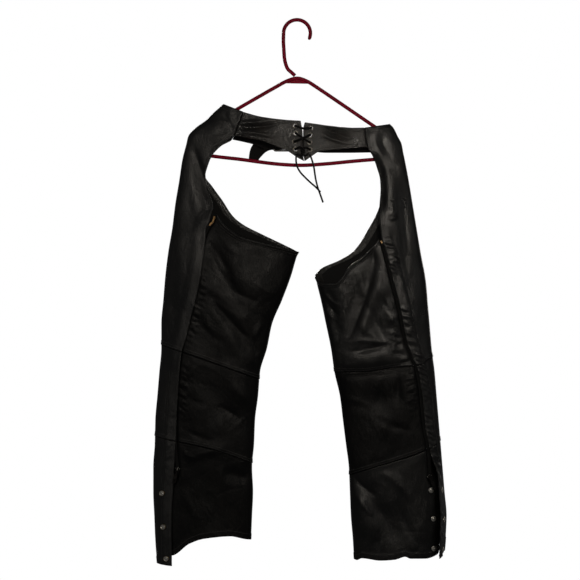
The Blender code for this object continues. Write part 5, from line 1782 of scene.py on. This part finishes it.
def lace_route():
    """The lace from its left free end, up one side, over the top and down to its right."""
    left = [yoke_point(LEFT, np.array(s.x), np.array(s.z)) for s in LEFT_EYELETS]
    right = [yoke_point(RIGHT, np.array(s.x), np.array(s.z)) for s in RIGHT_EYELETS]

    def outside(hole, dx=0.0, dz=0.0):
        return (hole[0] + dx, hole[1] - 4.5, hole[2] + dz)

    def bore(hole, inwards):
        steps = ((0, -1.9, 0), (0, 1.9, 0))
        return [tuple(hole + s) for s in (steps if inwards else steps[::-1])]

    def inside(upper, lower):
        middle = (upper + lower) / 2
        return [
            (upper[0], upper[1] + 4.3, upper[2] - 2.6),
            (middle[0], middle[1] + 4.7, middle[2]),
            (lower[0], lower[1] + 4.3, lower[2] + 2.6),
        ]

    def twist(first_angle, upwards):
        turns = np.linspace(0, 1, 13)
        made = []
        for t in turns[::-1] if upwards else turns:
            a = math.radians(first_angle + 540 * t)
            z = KNOT["top"] + (KNOT["bottom"] - KNOT["top"]) * t
            made.append(
                (KNOT["x"] + KNOT["radius"] * math.cos(a),
                 KNOT["y"] + KNOT["radius"] * math.sin(a), z)
            )
        return made

    exit_left = LEFT_END_ROUTE[0]
    exit_right = RIGHT_END_ROUTE[0]
    route = [(exit_left[0] + 0.1, exit_left[1], exit_left[2] + 0.3 + LACE_RADIUS / 5)]
    route += [(-0.4, -27.2, -267.4), (4.6, -27.4, -268.2)]
    route += twist(0, True)
    route += [(18.4, -26.4, -253.4), outside(right[3], -3.4, 1.6)]
    route += bore(right[3], True) + inside(right[2], right[3])[::-1] + bore(right[2], False)
    route += [outside(right[2], -2.8, 1.4), (11.2, -25.6, -234.6), outside(left[1], 2.8, -1.4)]
    route += bore(left[1], True) + inside(left[0], left[1])[::-1] + bore(left[0], False)
    route += [outside(left[0], 3.2, -0.6), (12.0, -25.0, -215.6), outside(right[0], -3.2, -0.4)]
    route += bore(right[0], True) + inside(right[0], right[1]) + bore(right[1], False)
    route += [outside(right[1], -3.0, -1.2), (17.6, -28.4, -232.6), (11.0, -29.4, -235.4),
              (4.4, -28.2, -238.4), outside(left[2], 3.0, 1.2)]
    route += bore(left[2], True) + inside(left[2], left[3]) + bore(left[3], False)
    route += [outside(left[3], 3.4, 1.6), (5.0, -26.6, -253.2)]
    route += twist(180, False)
    route += [(18.6, -27.2, -268.6), (22.4, -27.0, -265.8)]
    route += [(exit_right[0] - 0.7, exit_right[1], exit_right[2] + 1.2)]
    return route


def free_end(name, route, material):
    path = through(route, 3.0)
    end = rod(f"{name}_cord", path, LACE_GIRTH, material, resolution=5)
    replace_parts(end, name)


def make_lace(looks):
    lace = rod("lace_tied", through(lace_route(), 1.8), TIED_GIRTH, looks["lace"], resolution=5)
    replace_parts(lace, "lace")
    free_end("lace_end_left", LEFT_END_ROUTE, looks["lace"])
    free_end("lace_end_right", RIGHT_END_ROUTE, looks["lace"])


def arc(centre, radius, first, last, count):
    turns = np.radians(np.linspace(first, last, count))
    return [(centre[0] + radius * math.cos(a), 0, centre[1] + radius * math.sin(a)) for a in turns]


def make_hanger(looks):
    look = looks["hanger"]
    hook = arc(HOOK_CENTRE, HOOK_RADIUS, HOOK_TIP_ANGLE, 180, 60)
    shank = through([hook[-1]] + [(p.x, 0, p.z) for p in SHANK], 2.5)
    path = hook + [tuple(p) for p in shank[1:]]
    tip = [0.35, 0.75, 0.93]
    sizes = tip + [1.0] * (len(path) - len(tip))
    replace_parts(rod("hanger_hook_rod", path, HANGER_RADIUS, look, resolution=8, ends=sizes), "hanger_hook")

    left = arc(LEFT_END["centre"], LEFT_END["radius"], LEFT_END["to"] - 75, LEFT_END["from"], 24)
    right = arc(RIGHT_END["centre"], RIGHT_END["radius"], RIGHT_END["from"], RIGHT_END["to"] + 74, 24)
    apex = through([(LEFT_ARM_END.x, 0, LEFT_ARM_END.z)] + [(p.x, 0, p.z) for p in APEX]
                   + [(RIGHT_ARM_END.x, 0, RIGHT_ARM_END.z)], 3.0)
    arms = left + [tuple(p) for p in apex] + right
    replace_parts(rod("hanger_arms_rod", arms, HANGER_RADIUS, look, resolution=8), "hanger_shoulders")
    web = plate("hanger_web", [[(p.x, p.z) for p in WEB_CORNERS][::-1]], WEB_THICK - 0.4, look, BODY,
                Matrix.Identity(4))
    edge_bevel(web, 0.4, 2)

    low_left = arc(LEFT_END["centre"], LEFT_END["radius"], LEFT_END["to"] - 71.5, LEFT_END["to"], 20)
    low_right = arc(RIGHT_END["centre"], RIGHT_END["radius"], RIGHT_END["to"], RIGHT_END["to"] + 70, 20)
    bar = through([low_left[-1]] + [(p.x, 0, p.z) for p in BAR] + [low_right[0]], 4.0)
    path = low_left[:-1] + [tuple(p) for p in bar] + low_right[1:]
    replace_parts(rod("hanger_bar_rod", path, HANGER_RADIUS, look, resolution=8), "hanger_bar")


def make_looks():
    return {
        "leather_left": leather("leather_left", (0.0030, 0.0028, 0.0025), (0.0064, 0.0058, 0.0049),
                                (0.34, 0.50), specular=0.6),
        # back_left and back_right are darker copies of the same leather for the back panels, back_left also
        # covering both back knee panels: painted shade.
        "back_left": leather("leather_back_left", (0.0022, 0.0021, 0.0020), (0.0042, 0.0039, 0.0036),
                             (0.34, 0.50), specular=0.20),
        "leather_right": leather("leather_right", (0.0030, 0.0028, 0.0024), (0.0070, 0.0062, 0.0051),
                                 (0.27, 0.40), creases=0.6, specular=0.55),
        "back_right": leather("leather_back_right", (0.0026, 0.0025, 0.0023), (0.0058, 0.0053, 0.0046),
                              (0.28, 0.42), creases=0.55, specular=0.42),
        # The yoke is lighter and browner than the legs, with bright specks: worn hide, and painted sheen as
        # well.
        "yoke": leather("leather_yoke", (0.0070, 0.0060, 0.0047), (0.0225, 0.0179, 0.0135),
                        (0.27, 0.46), grain=1.0, creases=1.0, pebble=600.0, specular=0.7, wear=3.4),
        "belt": leather("leather_belt", (0.0028, 0.0027, 0.0026), (0.006, 0.0056, 0.005), (0.38, 0.5)),
        # The facing is a grain-leather strip coloured far lighter than the hide, with strong specks: painted
        # highlight and glints.
        "facing": leather("leather_facing", (0.006, 0.0058, 0.0055), (0.030, 0.029, 0.026), (0.24, 0.42),
                          grain=1.0, creases=1.0, pebble=420.0, wear=5.0),
        "inside": suede("leather_inside", (0.0010, 0.0010, 0.0010), (0.0026, 0.0025, 0.0024)),
        "thread": thread("stitch_thread", (0.045, 0.043, 0.040)),
        "nickel": metal("nickel", (0.70, 0.67, 0.60), 0.32, 0.45),
        "pull": metal("pull_metal", (0.028, 0.026, 0.025), 0.42),
        "rim": metal("cap_rim", (0.16, 0.11, 0.05), 0.38, 0.4),
        "brass": metal("brass_teeth", (0.92, 0.58, 0.26), 0.38, 0.5),
        "tape": woven("zip_tape", (0.0014, 0.0014, 0.0014)),
        "lace": leather("lace_leather", (0.0016, 0.0016, 0.0016), (0.0042, 0.0041, 0.0040), (0.46, 0.62),
                        grain=0.4, creases=0.3, pebble=1400.0, specular=0.3),
        "eyelet": metal("eyelet_metal", (0.27, 0.25, 0.22), 0.26, 0.3),
        "hanger": plastic("hanger_plastic", (0.40, 0.004, 0.034), (0.28, 0.003, 0.022), 0.42),
    }


def make_stage():
    """A pale round floor below the hung garment."""
    turns = np.linspace(0, 2 * math.pi, 96, endpoint=False)
    rim = [(FLOOR_RADIUS * math.cos(a), FLOOR_RADIUS * math.sin(a), FLOOR_HEIGHT) for a in turns]
    mesh = bpy.data.meshes.new("floor")
    mesh.from_pydata(rim, [], [list(range(len(rim)))])
    n = Nodes("floor_paint")
    tone = n.blend(n.noise(3, 3), (0.86, 0.86, 0.86), (0.90, 0.90, 0.90))
    mesh.materials.append(
        n.finish(tone, 0.9, Emission_Color=(1.0, 1.0, 1.0, 1.0), Emission_Strength=0.72)
    )
    floor = bpy.data.objects.new("floor", mesh)
    floor.visible_glossy = False
    floor.visible_diffuse = False
    bpy.context.scene.collection.objects.link(floor)


def soft_box(name, place, target, size, power, tint=(1, 1, 1), spread=180):
    data = bpy.data.lights.new(name, "AREA")
    data.shape = "RECTANGLE"
    data.size, data.size_y = size
    data.energy = power
    data.spread = math.radians(spread)
    data.color = tint
    obj = bpy.data.objects.new(name, data)
    obj.visible_camera = False
    obj.location = place
    aim = Vector(target) - Vector(place)
    obj.rotation_euler = aim.to_track_quat("-Z", "Y").to_euler()
    bpy.context.scene.collection.objects.link(obj)


def make_world():
    """A white studio round the garment that itself gives little light."""
    world = bpy.data.worlds.new("studio")
    world.use_nodes = True
    tree = world.node_tree
    dim = tree.nodes["Background"]
    dim.inputs["Color"].default_value = (1.0, 1.0, 1.0, 1)
    dim.inputs["Strength"].default_value = 0.065
    white = tree.nodes.new("ShaderNodeBackground")
    white.inputs["Color"].default_value = (1.0, 1.0, 1.0, 1)
    white.inputs["Strength"].default_value = 1.0
    ray = tree.nodes.new("ShaderNodeLightPath")
    chosen = tree.nodes.new("ShaderNodeMixShader")
    tree.links.new(ray.outputs["Is Camera Ray"], chosen.inputs[0])
    tree.links.new(dim.outputs[0], chosen.inputs[1])
    tree.links.new(white.outputs[0], chosen.inputs[2])
    tree.links.new(chosen.outputs[0], tree.nodes["World Output"].inputs["Surface"])
    bpy.context.scene.world = world


def make_lights():
    soft_box("key", (0.34, -2.4, 0.06), (0.16, 0, -0.42), (0.30, 0.24), 0.84, (1.0, 0.92, 0.81), 54)
    soft_box("side", (-0.95, -2.3, -0.2), (-0.25, 0, -0.50), (0.7, 1.1), 0.42, (1.0, 0.93, 0.84), 90)
    soft_box("fill", (1.9, -1.4, -0.1), (0.1, 0, -0.6), (0.4, 1.2), 0.9, (1.0, 0.96, 0.9))
    soft_box("rear", (-0.34, 2.4, 0.1), (-0.1, 0, -0.5), (0.5, 0.4), 2.0, (1.0, 0.95, 0.88), 60)
    soft_box("rear_fill", (1.25, 2.0, -0.1), (0.2, 0, -0.5), (0.7, 1.1), 1.6, (1.0, 0.95, 0.88), 90)


def make_camera():
    data = bpy.data.cameras.new("camera")
    distance = 5.0
    data.sensor_width = 36.0
    data.lens = 36.0 * (distance - 0.012) / 1.16
    camera = bpy.data.objects.new("camera", data)
    camera.location = (-0.014, -distance, -0.538)
    camera.rotation_euler = (math.pi / 2, 0, 0)
    bpy.context.scene.collection.objects.link(camera)
    bpy.context.scene.camera = camera


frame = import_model()
LEFT = DressedLeg(LEFT, LEFT_CREASES, 0.25)
RIGHT = DressedLeg(RIGHT, RIGHT_CREASES, -0.25)
make_camera()
looks = make_looks()
make_lace(looks)
edges = make_legs(looks)
make_tape(LEFT, edges["left"], looks)
make_tape(RIGHT, edges["right"], looks)
make_slider("left", looks)
make_slider("right", looks)
make_snaps(looks)
make_yokes(looks)
make_belt(looks)
make_hanger(looks)
make_stage()
make_world()
make_lights()
bpy.context.scene.view_settings.view_transform = "Standard"
